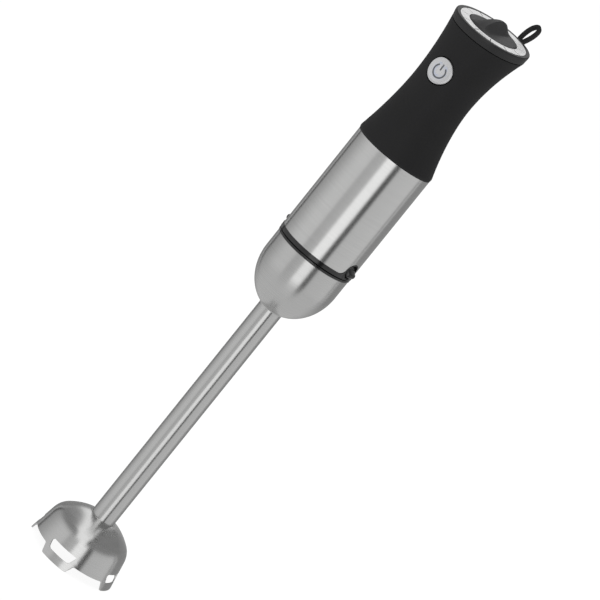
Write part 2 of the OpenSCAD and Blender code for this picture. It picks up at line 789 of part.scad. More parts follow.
// A prism that points outwards from the axis, with an outline given by two half widths and heights
module wedge(half0, z0, half1, z1) {
    rotate([90, 0, 0]) linear_extrude(height = bell_r + 6)
        polygon([[-half0, z0], [half0, z0], [half1, z1], [-half1, z1]]);
}
module blade_guard() {
    n = len(bell_inner) - 1;
    shell = concat(bell_line, [for (k = [0:n]) bell_inner[n - k]]);
    foot_end = bell_r * sin(foot_half_end);
    foot_top = bell_r * sin(foot_half_top);
    win_end = bell_r * sin(window_half_end);
    win_top = bell_r * sin(window_half_top);
    color(steel) difference() {
        rotate_extrude() polygon(shell);
        difference() {
            translate([0, 0, -5]) cylinder(r = bell_r + 10, h = 5 + z_rim);
            for (k = [0:foot_count - 1]) rotate([0, 0, foot_turn + k * 360 / foot_count])
                wedge(foot_end, 0, foot_top, z_rim + 0.01);
        }
        for (k = [0:foot_count - 1]) rotate([0, 0, foot_turn + k * 360 / foot_count])
            wedge(win_end, z_rim - window_low, win_top, z_rim - window_low + window_h);
    }
}

// ---- Drive shaft and blade ----
z_blade = z_rim + 3.4;
z_shaft_end = z_blade - 1.4;
boss_r = 6;
module drive_shaft() {
    color(steel) translate([0, 0, z_shaft_end]) cylinder(r = shaft_r, h = z_socket + 2 - z_shaft_end);
}
module driven_coupler() {
    z_mouth = z_male + 6;
    color(black) difference() {
        union() {
            translate([0, 0, z_socket]) cylinder(r = coupler_r + 3, h = z_mouth - z_socket);
            translate([0, 0, socket_floor - floor_t]) cylinder(r = coupler_r + 1,
                h = z_socket - socket_floor + floor_t + 0.5);
        }
        translate([0, 0, z_male - free_gap]) cross(coupler_r + free_gap, lobe_w + 2 * free_gap, 20);
        translate([0, 0, socket_floor - floor_t - 1])
            cylinder(r = shaft_r, h = z_socket + 3 - socket_floor + floor_t);
    }
}
module blade() {
    tip = 8;
    half = blade_d / 2;
    bend = 22;
    color([0.8, 0.8, 0.8]) difference() {
        union() {
            translate([0, 0, z_blade]) cylinder(r = boss_r, h = blade_t);
            for (side = [0, 1]) rotate([0, 0, 180 * side]) {
                translate([0, -blade_w / 2, z_blade]) cube([half - tip, blade_w, blade_t]);
                translate([half - tip, -blade_w / 2, z_blade]) rotate([0, side == 0 ? -bend : 0, 0])
                    translate([-0.3, 0, 0]) cube([tip, blade_w * 0.8, blade_t]);
            }
        }
        translate([0, 0, z_blade - 1]) cylinder(r = shaft_r, h = 5);
    }
}
module blade_boss() {
    color([0.2, 0.2, 0.2]) tube(boss_r, shaft_r, z_blade + blade_t, z_tube_end - 1);
}

motor_housing();
coupling_collar();
grip_cover();
grip_frame();
top_cap();
scale_ring();
cord_gland();
hanging_loop();
potentiometer();
control_board();
power_switch();
speed_triac();
suppressor_capacitor();
motor_leads();
lower_bracket();
upper_bracket();
lower_bearing();
upper_bearing();
field_core();
field_coils();
brush_holders();
carbon_brushes();
brush_springs();
bracket_screws();
motor_mount();
armature();
armature_windings();
commutator();
motor_shaft();
cooling_fan();
drive_coupler();
speed_dial();
potentiometer_shaft();
power_button();
button_plunger();
button_spring();
release_button_left();
release_button_right();
release_spring_left();
release_spring_right();
attachment_ring();
attachment_socket();
shaft_dome();
shaft_tube();
upper_bush();
lower_bush();
shaft_seal();
blade_guard();
drive_shaft();
driven_coupler();
blade();
blade_boss();
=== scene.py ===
import json
import math

import bmesh
import bpy
import numpy as np
from bpy.props import FloatProperty, FloatVectorProperty, PointerProperty
from mathutils import Matrix, Vector


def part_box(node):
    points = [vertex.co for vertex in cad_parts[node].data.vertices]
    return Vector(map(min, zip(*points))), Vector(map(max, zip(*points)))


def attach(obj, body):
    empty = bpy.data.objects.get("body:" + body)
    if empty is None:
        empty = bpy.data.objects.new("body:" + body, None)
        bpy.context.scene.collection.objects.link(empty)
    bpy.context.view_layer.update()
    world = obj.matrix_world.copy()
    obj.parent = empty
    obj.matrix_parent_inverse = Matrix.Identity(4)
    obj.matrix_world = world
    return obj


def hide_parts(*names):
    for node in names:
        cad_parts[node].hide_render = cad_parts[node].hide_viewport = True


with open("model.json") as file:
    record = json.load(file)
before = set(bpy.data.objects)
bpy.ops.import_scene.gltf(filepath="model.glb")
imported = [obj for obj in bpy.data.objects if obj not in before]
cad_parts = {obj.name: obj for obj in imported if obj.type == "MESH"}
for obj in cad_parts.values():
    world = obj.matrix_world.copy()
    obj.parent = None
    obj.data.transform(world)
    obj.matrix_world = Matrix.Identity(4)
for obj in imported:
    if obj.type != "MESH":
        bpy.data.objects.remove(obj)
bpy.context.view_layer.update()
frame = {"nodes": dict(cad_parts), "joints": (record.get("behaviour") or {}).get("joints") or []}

bl_info = {
    "name": "Immersion Blender",
    "version": (1, 0, 0),
    "blender": (4, 5, 0),
    "location": "View3D > Sidebar > Stick",
    "description": "Builds the visible pieces of an immersion blender round its packed frame",
    "category": "Object",
}

MM = 0.001
TAU = 2 * math.pi
AROUND = 192

# ---- Places taken from the frame ----
LOW = {node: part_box(node)[0] for node in frame["nodes"]}
HIGH = {node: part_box(node)[1] for node in frame["nodes"]}
JOINTS = {joint["name"]: joint for joint in frame["joints"]}

Z_NECK = HIGH["blade_guard"].z
Z_LOWER_RING = LOW["attachment_ring"].z
Z_COLLAR = HIGH["attachment_ring"].z
Z_HOUSING = LOW["motor_housing"].z
Z_GRIP = HIGH["motor_housing"].z
Z_TOP = JOINTS["dial_turn"]["pos_m"][2]
SLANT = math.asin(-JOINTS["dial_turn"]["axis"][1])

BODY_R = HIGH["motor_housing"].x
COLLAR_R = HIGH["coupling_collar"].x
RING_R = HIGH["attachment_ring"].x
DOME_R = HIGH["shaft_dome"].x
TUBE_R = HIGH["shaft_tube"].x
CAP_R = HIGH["top_cap"].x
SCALE_R = HIGH["scale_ring"].x
DIAL_R = HIGH["speed_dial"].x
KEY_R = HIGH["power_button"].x
KEY_Y = LOW["power_button"].y
KEY_Z = (LOW["power_button"].z + HIGH["power_button"].z) / 2
POCKET_R = 0.87 * HIGH["release_button_right"].y
STEM_Z = HIGH["release_button_right"].z - HIGH["release_button_right"].y
RELEASE_Z = STEM_Z - 0.8 * MM
TIP_R = HIGH["release_button_right"].x
FOOT_R = HIGH["blade_guard"].x


# ---- Sizes and colours that a user would change ----
def size(label, value, note, most=0.5):
    return FloatProperty(name=label, description=note, default=value, min=0.0, max=most,
                         precision=5, unit="LENGTH", subtype="DISTANCE")


def angle(label, degrees, note):
    return FloatProperty(name=label, description=note, default=math.radians(degrees),
                         min=-TAU, max=TAU, unit="ROTATION", subtype="ANGLE")


def number(label, value, note, most=100.0):
    return FloatProperty(name=label, description=note, default=value, min=0.0, max=most)


def colour(label, rgb, note):
    return FloatVectorProperty(name=label, description=note, default=rgb, min=0.0, max=1.0,
                               size=3, subtype="COLOR")


class STICK_PG_grip(bpy.types.PropertyGroup):
    waist_radius: size("Waist radius", 20 * MM, "Radius of the grip's waist")
    waist_height: size("Waist height", 47.4 * MM, "Height of the waist above the housing")
    waist_shift: size("Waist shift", 3.9 * MM, "How far the waist sits towards the front")
    foot_proud: size("Foot swell", 0.8 * MM, "How far the foot swells beyond the housing")
    foot_edge: size("Foot edge", 2.2 * MM, "Height of the foot's rounded edge")
    foot_inset: size("Foot inset", 0.9 * MM, "How far the foot's edge turns in")
    seam_inset: size("Seam inset", 0.5 * MM, "How far the seam lies inside the cap")
    cover_wall: size("Cover wall", 1.8 * MM, "Wall of the soft cover")
    key_gap: size("Button gap", 0.35 * MM, "Gap round the power button")


class STICK_PG_top(bpy.types.PropertyGroup):
    cap_height: size("Cap height", 5.5 * MM, "Height of the top cap")
    cap_edge: size("Cap edge", 1.8 * MM, "Radius of the cap's rounded rim")
    scale_depth: size("Scale depth", 1.0 * MM, "Depth of the scale ring's seat")
    dial_depth: size("Dial depth", 2.8 * MM, "Depth of the dial's recess")
    dial_gap: size("Dial gap", 0.4 * MM, "Radial gap round the dial")
    ridge_height: size("Ridge height", 7.6 * MM, "Height of the finger ridge's crest")
    ridge_turn: angle("Ridge turn", 1, "Turn of the ridge from the front")
    ridge_left: size("Ridge left flank", 12.0 * MM, "Width of the ridge's sloping flank")
    ridge_right: size("Ridge right flank", 4.6 * MM, "Width of the ridge's steep flank")


class STICK_PG_key(bpy.types.PropertyGroup):
    trim: size("Trim", 0.3 * MM, "How far the face's edge lies inside the button's place")
    rim: size("Rim", 1.0 * MM, "Width of the power button's raised rim")
    dish: size("Dish", 0.75 * MM, "Depth of the button's hollow face")
    depth: size("Depth", 5.0 * MM, "Thickness of the button")
    symbol_radius: size("Symbol radius", 4.1 * MM, "Radius of the standby symbol's arc")
    symbol_stroke: size("Symbol stroke", 1.0 * MM, "Width of the symbol's lines")
    symbol_gap: angle("Symbol gap", 36, "Half of the arc's opening at the top")


class STICK_PG_housing(bpy.types.PropertyGroup):
    wall: size("Wall", 0.8 * MM, "Wall of the steel sleeve")
    lobe_radius: size("Lobe radius", 5.7 * MM, "Radius of the lobe round a release button")
    sweep: size("Lobe sweep", 4.2 * MM, "Radius that sweeps the collar up to the lobe")
    notch_gap: size("Notch gap", 0.1 * MM, "Gap between the sleeve and the lobe")
    pocket_gap: size("Pocket gap", 0.3 * MM, "Gap round a release button")
    nose_inset: size("Nose inset", 5.0 * MM, "Step from the sleeve to the collar's nose")
    nose_wall: size("Nose wall", 2.5 * MM, "Wall of the collar's nose")


class STICK_PG_shaft(bpy.types.PropertyGroup):
    wall: size("Wall", 0.8 * MM, "Wall of the dome, tube and bell")
    dome_wall: size("Dome wall", 12.8 * MM, "Height of the dome's straight wall")
    weld: size("Weld", 0.8 * MM, "Size of the weld bead round the tube")


class STICK_PG_bell(bpy.types.PropertyGroup):
    foot_drop: size("Foot drop", 5.9 * MM, "Drop of the feet below the rim")
    wall_height: size("Wall height", 16.5 * MM, "Height of the near-vertical wall")
    shoulder_in: size("Shoulder", 2.9 * MM, "How far the shoulder stands in from the rim")
    cone_rise: size("Cone rise", 2.0 * MM, "Bulge of the bell's cone")
    foot_turn: angle("Foot turn", 12, "Turn of the first foot from the front")
    foot_top: angle("Foot top", 23.2, "Half angle of a foot at the rim")
    foot_end: angle("Foot end", 18.0, "Half angle of a foot at its end")
    window_low: size("Window sill", 0.6 * MM, "Drop of the window below the rim")
    window_height: size("Window height", 6.1 * MM, "Height of a window")
    window_top: angle("Window top", 20.2, "Half angle of a window at its top")
    window_end: angle("Window end", 15.4, "Half angle of a window at its sill")
    blade_width: size("Blade width", 9.0 * MM, "Width of the blade")
    blade_bend: angle("Blade bend", 22, "Bend of the blade's raised tip")
    blade_tip: size("Blade tip", 8.0 * MM, "Length of the blade's tips")


class STICK_PG_back(bpy.types.PropertyGroup):
    turn: angle("Turn", 8, "Turn of the cord inlet and the loop from the back")
    bore: size("Cord hole", 3.6 * MM, "Radius of the cord hole")
    sleeve: size("Sleeve wall", 1.7 * MM, "Wall of the cord sleeve")
    strap_depth: size("Strap depth", 3.0 * MM, "Depth of the loop's strap")
    strap_width: size("Strap width", 2.3 * MM, "Width of the loop's strap")
    loop_width: size("Loop width", 9.0 * MM, "Outside width of the loop")
    loop_length: size("Loop length", 14.2 * MM, "Length of the loop's hole")
    loop_gap: size("Loop gap", 0.8 * MM, "Gap between the loop and the cap")
    lean: angle("Lean", 29, "Lean of the loop away from the grip")


class STICK_PG_colours(bpy.types.PropertyGroup):
    steel: colour("Housing steel", (0.70, 0.70, 0.695), "Colour of the brushed housing")
    shaft: colour("Shaft steel", (0.66, 0.66, 0.655), "Colour of the dome, tube and bell")
    grip: colour("Grip", (0.0125, 0.0125, 0.013), "Colour of the soft grip")
    gloss: colour("Collar", (0.006, 0.006, 0.0065), "Colour of the glossy collar")
    cap: colour("Cap", (0.0085, 0.0085, 0.009), "Colour of the top cap")
    dial: colour("Dial", (0.032, 0.032, 0.033), "Colour of the speed dial")
    scale: colour("Scale", (0.86, 0.86, 0.86), "Colour of the scale ring")
    key: colour("Button", (0.74, 0.74, 0.75), "Colour of the power button")
    symbol: colour("Symbol", (0.10, 0.105, 0.115), "Colour of the standby symbol")
    # Painted glow: a blue tint put into the button's base colour, standing in for the light round
    # the symbol; nothing here gives off light.
    painted_glow: colour("Glow", (0.42, 0.52, 0.80), "Tint of the lit ring round the symbol")
    loop: colour("Loop", (0.014, 0.014, 0.0145), "Colour of the rubber loop")


class STICK_PG_stage(bpy.types.PropertyGroup):
    distance: size("Distance", 2.0, "Distance of the camera", 10.0)
    azimuth: angle("Azimuth", 25, "Camera's place round the object")
    elevation: angle("Elevation", 12.61, "Camera's height above the horizon")
    roll: angle("Roll", 38.86, "Turn of the camera about its own line of sight")
    aside: size("Aside", 10.5 * MM, "How far the camera moves to its right")
    aim: size("Aim height", 217.4 * MM, "Height that the camera looks at")
    lens: number("Lens", 199.2, "Focal length in millimetres", 500.0)
    floor: size("Floor", 14.0, "Half the width of the floor", 50.0)
    surround: number("Surround", 1.0, "Strength of the surrounding light")
    key: number("Key", 9.0, "Power of the large softbox")


GROUPS = {
    "grip": STICK_PG_grip, "top": STICK_PG_top, "key": STICK_PG_key,
    "housing": STICK_PG_housing, "shaft": STICK_PG_shaft, "bell": STICK_PG_bell,
    "back": STICK_PG_back, "colours": STICK_PG_colours, "stage": STICK_PG_stage,
}


class STICK_PG_settings(bpy.types.PropertyGroup):
    grip: PointerProperty(type=STICK_PG_grip)
    top: PointerProperty(type=STICK_PG_top)
    key: PointerProperty(type=STICK_PG_key)
    housing: PointerProperty(type=STICK_PG_housing)
    shaft: PointerProperty(type=STICK_PG_shaft)
    bell: PointerProperty(type=STICK_PG_bell)
    back: PointerProperty(type=STICK_PG_back)
    colours: PointerProperty(type=STICK_PG_colours)
    stage: PointerProperty(type=STICK_PG_stage)


# ---- Lines: arrays of points, worked on whole ----
def rounded(points, radii, closed=False, steps=5):
    """A polyline with rounded corners. A corner stops r tan(h) short on both sides, h being
    half its turn, and an exact arc joins the stops: a rational curve of weight cos(h)."""
    p = np.asarray(points, float)
    before, after = p - np.roll(p, 1, 0), np.roll(p, -1, 0) - p
    len0, len1 = np.linalg.norm(before, axis=1), np.linalg.norm(after, axis=1)
    before, after = before / len0[:, None], after / len1[:, None]
    half = np.arccos(np.clip((before * after).sum(1), -1, 1)) / 2
    stop = np.minimum(np.broadcast_to(radii, len(p)) * np.tan(half),
                      0.48 * np.minimum(len0, len1))
    if not closed:
        stop[[0, -1]] = 0
    s = np.linspace(0, 1, steps + 1)[None, :, None]
    a, c = (p - before * stop[:, None])[:, None], (p + after * stop[:, None])[:, None]
    w = np.cos(half)[:, None, None]
    over = (1 - s) ** 2 * a + 2 * w * s * (1 - s) * p[:, None] + s ** 2 * c
    line = (over / ((1 - s) ** 2 + 2 * w * s * (1 - s) + s ** 2)).reshape(-1, p.shape[1])
    fresh = np.linalg.norm(np.diff(line, axis=0, prepend=line[:1] - 1), axis=1) > 1e-7
    return line[fresh]


def spaced(line, step):
    """The same line with more points, so that none is farther than step from the next."""
    parts = np.maximum(1, np.ceil(np.linalg.norm(np.diff(line, axis=0), axis=1) / step))
    parts = parts.astype(int)
    start = np.repeat(np.arange(len(parts)), parts)
    share = (np.arange(len(start)) - np.repeat(np.cumsum(parts) - parts, parts))
    share = (share / np.repeat(parts, parts))[:, None]
    return np.vstack([line[start] * (1 - share) + line[start + 1] * share, line[-1:]])


def even(line, count):
    """count points at equal lengths along a line, both ends included."""
    run = np.r_[0, np.cumsum(np.linalg.norm(np.diff(line, axis=0), axis=1))]
    at = np.linspace(0, run[-1], count)
    return np.stack([np.interp(at, run, column) for column in line.T], axis=1)


def loop_of(sides, counts):
    """A closed loop from sides that run end to end, each cut into its own number of steps."""
    return np.vstack([even(np.asarray(side, float), n + 1)[:-1]
                      for side, n in zip(sides, counts)])


def cut(line, marks):
    """Cuts an open line at its points nearest the marks; its two ends stay where they are."""
    dense = even(line, 1601)
    at = [0, *(np.argmin(np.linalg.norm(dense - mark, axis=1)) for mark in marks), 1600]
    return [dense[i:j + 1] for i, j in zip(at[:-1], at[1:])]


def between(outer, inner, rows):
    """Rows of points from one closed loop in to another: outer (1 - s) + inner s."""
    s = np.linspace(0, 1, rows + 1)[:, None, None]
    return outer * (1 - s) + inner * s


def circle_of(centre, radius, stops, counts):
    """A circle as arcs between stops in degrees, each cut into its own number of steps."""
    arcs = [np.linspace(a, b, n + 1)[:-1] for a, b, n in zip(stops[:-1], stops[1:], counts)]
    a = np.radians(np.concatenate(arcs))
    return np.stack([centre[0] + radius * np.cos(a), centre[1] + radius * np.sin(a)], axis=1)


def smooth(t):
    """0 to 1 with level ends: 3 t^2 - 2 t^3."""
    t = np.clip(t, 0, 1)
    return t * t * (3 - 2 * t)


# ---- Surfaces: grids of points made into meshes ----
def lathe(line, around=AROUND):
    """A profile of (radius, height) turned about Z: x = r cos a, y = r sin a, z = height."""
    a = np.linspace(0, TAU, around, endpoint=False)
    return on_wall(a, line[:, 1, None], line[:, 0, None])


def on_wall(a, z, r):
    """Points at angle a, height z and radius r."""
    a, z, r = np.broadcast_arrays(a, z, r)
    return np.stack([r * np.cos(a), r * np.sin(a), z], axis=-1)


def to_top(grid):
    """Carries a shape from the top face's own frame, which slants about X, to its place."""
    x, y, z = np.moveaxis(grid, -1, 0)
    c, s = math.cos(SLANT), math.sin(SLANT)
    return np.stack([x, y * c - z * s, y * s + z * c + Z_TOP], axis=-1)


def turned(grid, a):
    """Turns a shape about Z by the angle a."""
    x, y, z = np.moveaxis(grid, -1, 0)
    return np.stack([x * math.cos(a) - y * math.sin(a), x * math.sin(a) + y * math.cos(a), z],
                    axis=-1)


def along_y(grid, y0, z0):
    """Lays a shape turned about Z down, so that its axis points along +Y from (0, y0, z0)."""
    x, y, z = np.moveaxis(grid, -1, 0)
    return np.stack([x, y0 + z, z0 + y], axis=-1)


def quads(shape, wrap, start):
    """The four corners of each cell of a grid; wrap says which ways the grid joins itself."""
    rows, cols = shape[:2]
    i = np.arange(rows - (not wrap[0]))[:, None]
    j = np.arange(cols - (not wrap[1]))[None, :]
    k, l = (i + 1) % rows, (j + 1) % cols
    cells = [i * cols + j, i * cols + l, k * cols + l, k * cols + j]
    return start + np.stack(cells, axis=-1).reshape(-1, 4)


OPEN, RING, LOOPED = (False, False), (False, True), (True, True)


def piece(name, patches, body, nodes, slot, wall=0.0, edge=0.0, sharp=35):
    """Joins grids of points into one welded mesh with its wall and rounded edges, gives it
    its finish, hangs it on its body and hides the frame's nodes that it stands in for.
    patches holds (grid, wrap) pairs."""
    verts = np.concatenate([np.asarray(grid).reshape(-1, 3) for grid, _ in patches])
    starts = np.cumsum([0] + [grid.shape[0] * grid.shape[1] for grid, _ in patches])
    faces = np.concatenate([quads(grid.shape, wrap, start)
                            for (grid, wrap), start in zip(patches, starts)])
    mesh = bpy.data.meshes.new(name)
    mesh.from_pydata(verts.tolist(), [], faces.tolist())
    shell = bmesh.new()
    shell.from_mesh(mesh)
    bmesh.ops.remove_doubles(shell, verts=shell.verts, dist=0.002 * MM)
    bmesh.ops.dissolve_degenerate(shell, edges=shell.edges, dist=0.001 * MM)
    if not wall:
        bmesh.ops.recalc_face_normals(shell, faces=shell.faces)
    shell.to_mesh(mesh)
    shell.free()
    mesh.shade_smooth()
    mesh.set_sharp_from_angle(angle=math.radians(sharp))
    made = bpy.data.objects.new(name, mesh)
    bpy.context.scene.collection.objects.link(made)
    mesh.materials.append(finish(slot))
    if wall:
        solid = made.modifiers.new("Wall", "SOLIDIFY")
        solid.thickness, solid.offset, solid.use_even_offset = wall, -1, True
    if edge:
        bevel = made.modifiers.new("Edges", "BEVEL")
        bevel.width, bevel.segments, bevel.limit_method = edge, 3, "ANGLE"
        bevel.angle_limit, bevel.use_clamp_overlap = math.radians(50), True
    normals = made.modifiers.new("Shading", "WEIGHTED_NORMAL")
    normals.keep_sharp = True
    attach(made, body)
    if nodes:
        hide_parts(*nodes)
    return made


# ---- Shader maths ----
class Value:
    """A socket's value. Python's operators on it add Math nodes to its tree."""

    def __init__(self, nodes, socket):
        self.nodes, self.socket = nodes, socket

    def math(self, operation, *others, clamp=False):
        return self.nodes.add("Math", {"operation": operation, "use_clamp": clamp},
                              dict(enumerate((self, *others))))

    def flipped(self, operation, other):
        return self.nodes.add("Math", {"operation": operation}, {0: other, 1: self})

    def __add__(self, other):
        return self.math("ADD", other)

    def __sub__(self, other):
        return self.math("SUBTRACT", other)

    def __rsub__(self, other):
        return self.flipped("SUBTRACT", other)

    def __mul__(self, other):
        return self.math("MULTIPLY", other)

    def __truediv__(self, other):
        return self.math("DIVIDE", other)

    def __pow__(self, other):
        return self.math("POWER", other)

    def __abs__(self):
        return self.math("ABSOLUTE")

    def __lt__(self, other):
        return self.math("LESS_THAN", other)

    def __gt__(self, other):
        return self.math("GREATER_THAN", other)

    __radd__, __rmul__ = __add__, __mul__

    def rise(self, low, high):
        """0 below low, 1 above high, smooth between."""
        return self.nodes.add("MapRange", {"interpolation_type": "SMOOTHSTEP"},
                              {0: self, 1: low, 2: high})

    def near(self, centre, half, soft):
        """1 within half of centre, falling to 0 over soft."""
        return 1 - abs(self - centre).rise(half, half + soft)


class Nodes:
    """A shader tree that is filled one node at a time."""

    def __init__(self, tree):
        self.tree = tree
        tree.nodes.clear()

    def add(self, kind, settings=None, sockets=None, output=0):
        """One node: its settings first, then the values or links of its sockets."""
        node = self.tree.nodes.new("ShaderNode" + kind)
        for key, value in (settings or {}).items():
            if key == "stops":
                ramp = node.color_ramp
                ramp.interpolation = "EASE"
                ramp.elements[0].position, ramp.elements[-1].position = 0, 1
                for at, _ in value[1:-1]:
                    ramp.elements.new(at)
                for stop, (at, rgb) in zip(ramp.elements, value):
                    stop.position, stop.color = at, (*rgb, 1)
            else:
                setattr(node, key, value)
        for key, value in (sockets or {}).items():
            if isinstance(value, Value):
                self.tree.links.new(value.socket, node.inputs[key])
            elif isinstance(value, tuple) and len(value) == 3 and key in (6, 7, "Base Color"):
                node.inputs[key].default_value = (*value, 1)
            else:
                node.inputs[key].default_value = value
        return Value(self, node.outputs[output]) if node.outputs else node

    def mix(self, factor, a, b):
        """The colour a where factor is 0 and b where it is 1."""
        return self.add("Mix", {"data_type": "RGBA"}, {0: factor, 6: a, 7: b}, output=2)

    def vector(self, operation, a, b):
        return self.add("VectorMath", {"operation": operation}, {0: a, 1: b})

    def parts(self, vector):
        node = self.add("SeparateXYZ", {}, {0: vector}).socket.node
        return [Value(self, socket) for socket in node.outputs]


class Finish(Nodes):
    """A material whose patterns are fixed to the piece through Object coordinates."""

    def __init__(self, name):
        self.material = bpy.data.materials.new(name)
        self.material.use_nodes = True
        super().__init__(self.material.node_tree)
        self.place = self.add("TexCoord", output="Object")
        self.x, self.y, self.z = self.parts(self.place)
        self.radius = (self.x * self.x + self.y * self.y) ** 0.5

    def noise(self, scale, detail=2.0, stretch=(1, 1, 1), place=None):
        spot = self.vector("MULTIPLY", place or self.place, tuple(scale * s for s in stretch))
        return self.add("TexNoise", {}, {"Vector": spot, "Scale": 1.0, "Detail": detail})

    def surface(self, rgb, roughness, height=None, depth=0.0, strength=1.0, **fixed):
        """The shader: rgb and roughness may vary, a height feeds Bump, the rest is fixed."""
        sockets = {"Base Color": rgb, "Roughness": roughness}
        if height is not None:
            sockets["Normal"] = self.add("Bump", {}, {"Strength": strength, "Distance": depth,
                                                      "Height": height})
        sockets.update({key.replace("_", " "): value for key, value in fixed.items()})
        shader = self.add("BsdfPrincipled", {}, sockets)
        self.add("OutputMaterial", {}, {"Surface": shader})
        return self.material


def shade(rgb, share):
    """A colour made darker or lighter by a share."""
    return tuple(min(1.0, c * share) for c in rgb)


def brushed(name, rgb, rough, grain=1.0):
    """Steel brushed round the axis: long fine streaks with a few deeper scratches, and a
    slow cloudiness. The streaks follow height plus a share of the radius."""
    f = Finish(name)
    run = f.add("CombineXYZ", {}, {0: f.x, 1: f.y, 2: f.z + f.radius * 0.7})
    fine = f.noise(1, 2.0, (26, 26, 7400), run)
    broad = f.noise(1, 2.0, (14, 14, 1500), run)
    deep = f.noise(1, 1.0, (44, 44, 3300), run).rise(0.66, 0.74)
    cloud = f.noise(34, 2.0)
    tone = (fine - 0.5) * (0.22 * grain) + (broad - 0.5) * (0.30 * grain) + 0.5
    tone = (tone + (cloud - 0.5) * 0.12 - deep * 0.10).math("ADD", 0.0, clamp=True)
    tint = f.mix(tone, shade(rgb, 0.80), shade(rgb, 1.20))
    roughness = rough + (fine - 0.5) * 0.10 + (cloud - 0.5) * 0.05
    return f.surface(tint, roughness, fine * 0.6 + broad * 0.6 - deep * 0.5, 0.004 * MM, 0.35,
                     Metallic=1.0, Anisotropic=0.72, Anisotropic_Rotation=0.25)


def soft_touch(name, rgb, rough=0.62):
    """Soft-touch rubber: a fine even stipple, faint cloudiness and handling shine."""
    f = Finish(name)
    grit, cloud, rub = f.noise(5200, 3.0), f.noise(60, 3.0), f.noise(17, 2.0)
    tint = f.mix(cloud * 0.6 + grit * 0.4, shade(rgb, 0.80), shade(rgb, 1.25))
    return f.surface(tint, rough + (rub - 0.5) * 0.14 + (grit - 0.5) * 0.10, grit,
                     0.012 * MM, 0.35, Specular_IOR_Level=0.22)


def moulded(name, rgb, rough, grain=2600, depth=0.006, wear=0.0, coat=0.0):
    """Moulded plastic: fine tool texture, faint flow marks and rubbed patches."""
    f = Finish(name)
    grit, flow = f.noise(grain, 3.0), f.noise(90, 3.0, (1, 1, 0.35))
    scuff = f.noise(1, 2.0, (420, 420, 90)).rise(0.60, 0.80)
    tint = f.mix(flow * 0.5 + grit * 0.5, shade(rgb, 0.82), shade(rgb, 1.20))
    return f.surface(tint, rough + (grit - 0.5) * 0.10 + scuff * wear, grit, depth * MM, 0.5,
                     Coat_Weight=coat, Coat_Roughness=0.12)


def cast(name, rgb, rough=0.42):
    """Die-cast metal: mottled skin with small pits."""
    f = Finish(name)
    skin, pits = f.noise(900, 4.0), f.noise(3200, 1.0).rise(0.62, 0.72)
    tint = f.mix(skin - pits * 0.4, shade(rgb, 0.72), shade(rgb, 1.15))
    return f.surface(tint, rough + skin * 0.16, skin - pits, 0.02 * MM, 0.5, Metallic=1.0)


def machined(name, rgb, rough=0.24):
    """Turned or ground metal: close tool rings that follow height and radius."""
    f = Finish(name)
    run = f.add("CombineXYZ", {}, {0: f.x, 1: f.y, 2: f.z + f.radius})
    rings, cloud = f.noise(1, 2.0, (60, 60, 9000), run), f.noise(120)
    tint = f.mix(rings * 0.6 + cloud * 0.4, shade(rgb, 0.82), shade(rgb, 1.14))
    return f.surface(tint, rough + (rings - 0.5) * 0.16, rings, 0.003 * MM, 0.4, Metallic=1.0)


def layered(name, rgb, pitch, metallic, rough, gloss=0.0):
    """Stacked sheets or wound wire: a wave of the given pitch along the axis."""
    f = Finish(name)
    wave = (f.z * (TAU / pitch)).math("SINE") * 0.5 + 0.5
    drift = f.noise(500, 3.0)
    tint = f.mix(wave * 0.7 + drift * 0.3, shade(rgb, 0.45), shade(rgb, 1.25))
    return f.surface(tint, rough + drift * 0.15, wave, 0.08 * MM, 0.7, Metallic=metallic,
                     Coat_Weight=gloss, Coat_Roughness=0.15)


def board(name, rgb):
    """Circuit board: lacquer over woven glass, with raised tracks."""
    f = Finish(name)
    weave = (f.x * 6000).math("SINE") * (f.z * 6000).math("SINE") * 0.5 + 0.5
    track = f.add("TexBrick", {"offset": 0.37, "squash": 0.6}, {
        "Vector": f.vector("MULTIPLY", f.add("CombineXYZ", {}, {0: f.x, 1: f.z}), (260, 260, 1)),
        "Scale": 1.0, "Mortar Size": 0.06}, output=1)
    tint = f.mix(track, shade(rgb, 0.8), shade(rgb, 2.0))
    return f.surface(tint, 0.34 + weave * 0.10, weave * 0.2 + track, 0.03 * MM, 0.5,
                     Coat_Weight=0.4, Coat_Roughness=0.2)


SCALE_STEP = math.radians(30)


def scale_finish(name, rgb):
    """Silver scale paint: bright stipple over circular brushing, dark in the ring's notches,
    which are placed by angle and radius in the top face's frame."""
    f = Finish(name)
    c, s = math.cos(SLANT), math.sin(SLANT)
    v = f.y * c + (f.z - Z_TOP) * s
    r = (f.x * f.x + v * v) ** 0.5
    a = f.x.math("ARCTAN2", -1 * v)
    run = f.add("CombineXYZ", {}, {0: f.x * 40, 1: v * 40, 2: r * 7000})
    rings = f.add("TexNoise", {}, {"Vector": run, "Scale": 1.0, "Detail": 2.0})
    spark, cloud = f.noise(3600, 2.0), f.noise(150, 2.0)
    step = abs((a / SCALE_STEP + 0.5).math("FRACT") - 0.5) * SCALE_STEP * r
    ticks = (1 - step.rise(0.22 * MM, 0.34 * MM)) * (abs(a) < 2.6) * (r > DIAL_R + 1.4 * MM)
    tint = f.mix(rings * 0.35 + spark * 0.40 + cloud * 0.25, shade(rgb, 0.72), shade(rgb, 1.2))
    tint = f.mix(ticks, tint, (0.10, 0.10, 0.10))
    return f.surface(tint, 0.30 + (spark - 0.5) * 0.2 + ticks * 0.3,
                     spark * 0.5 + rings * 0.4, 0.01 * MM, 0.5, Metallic=0.25)


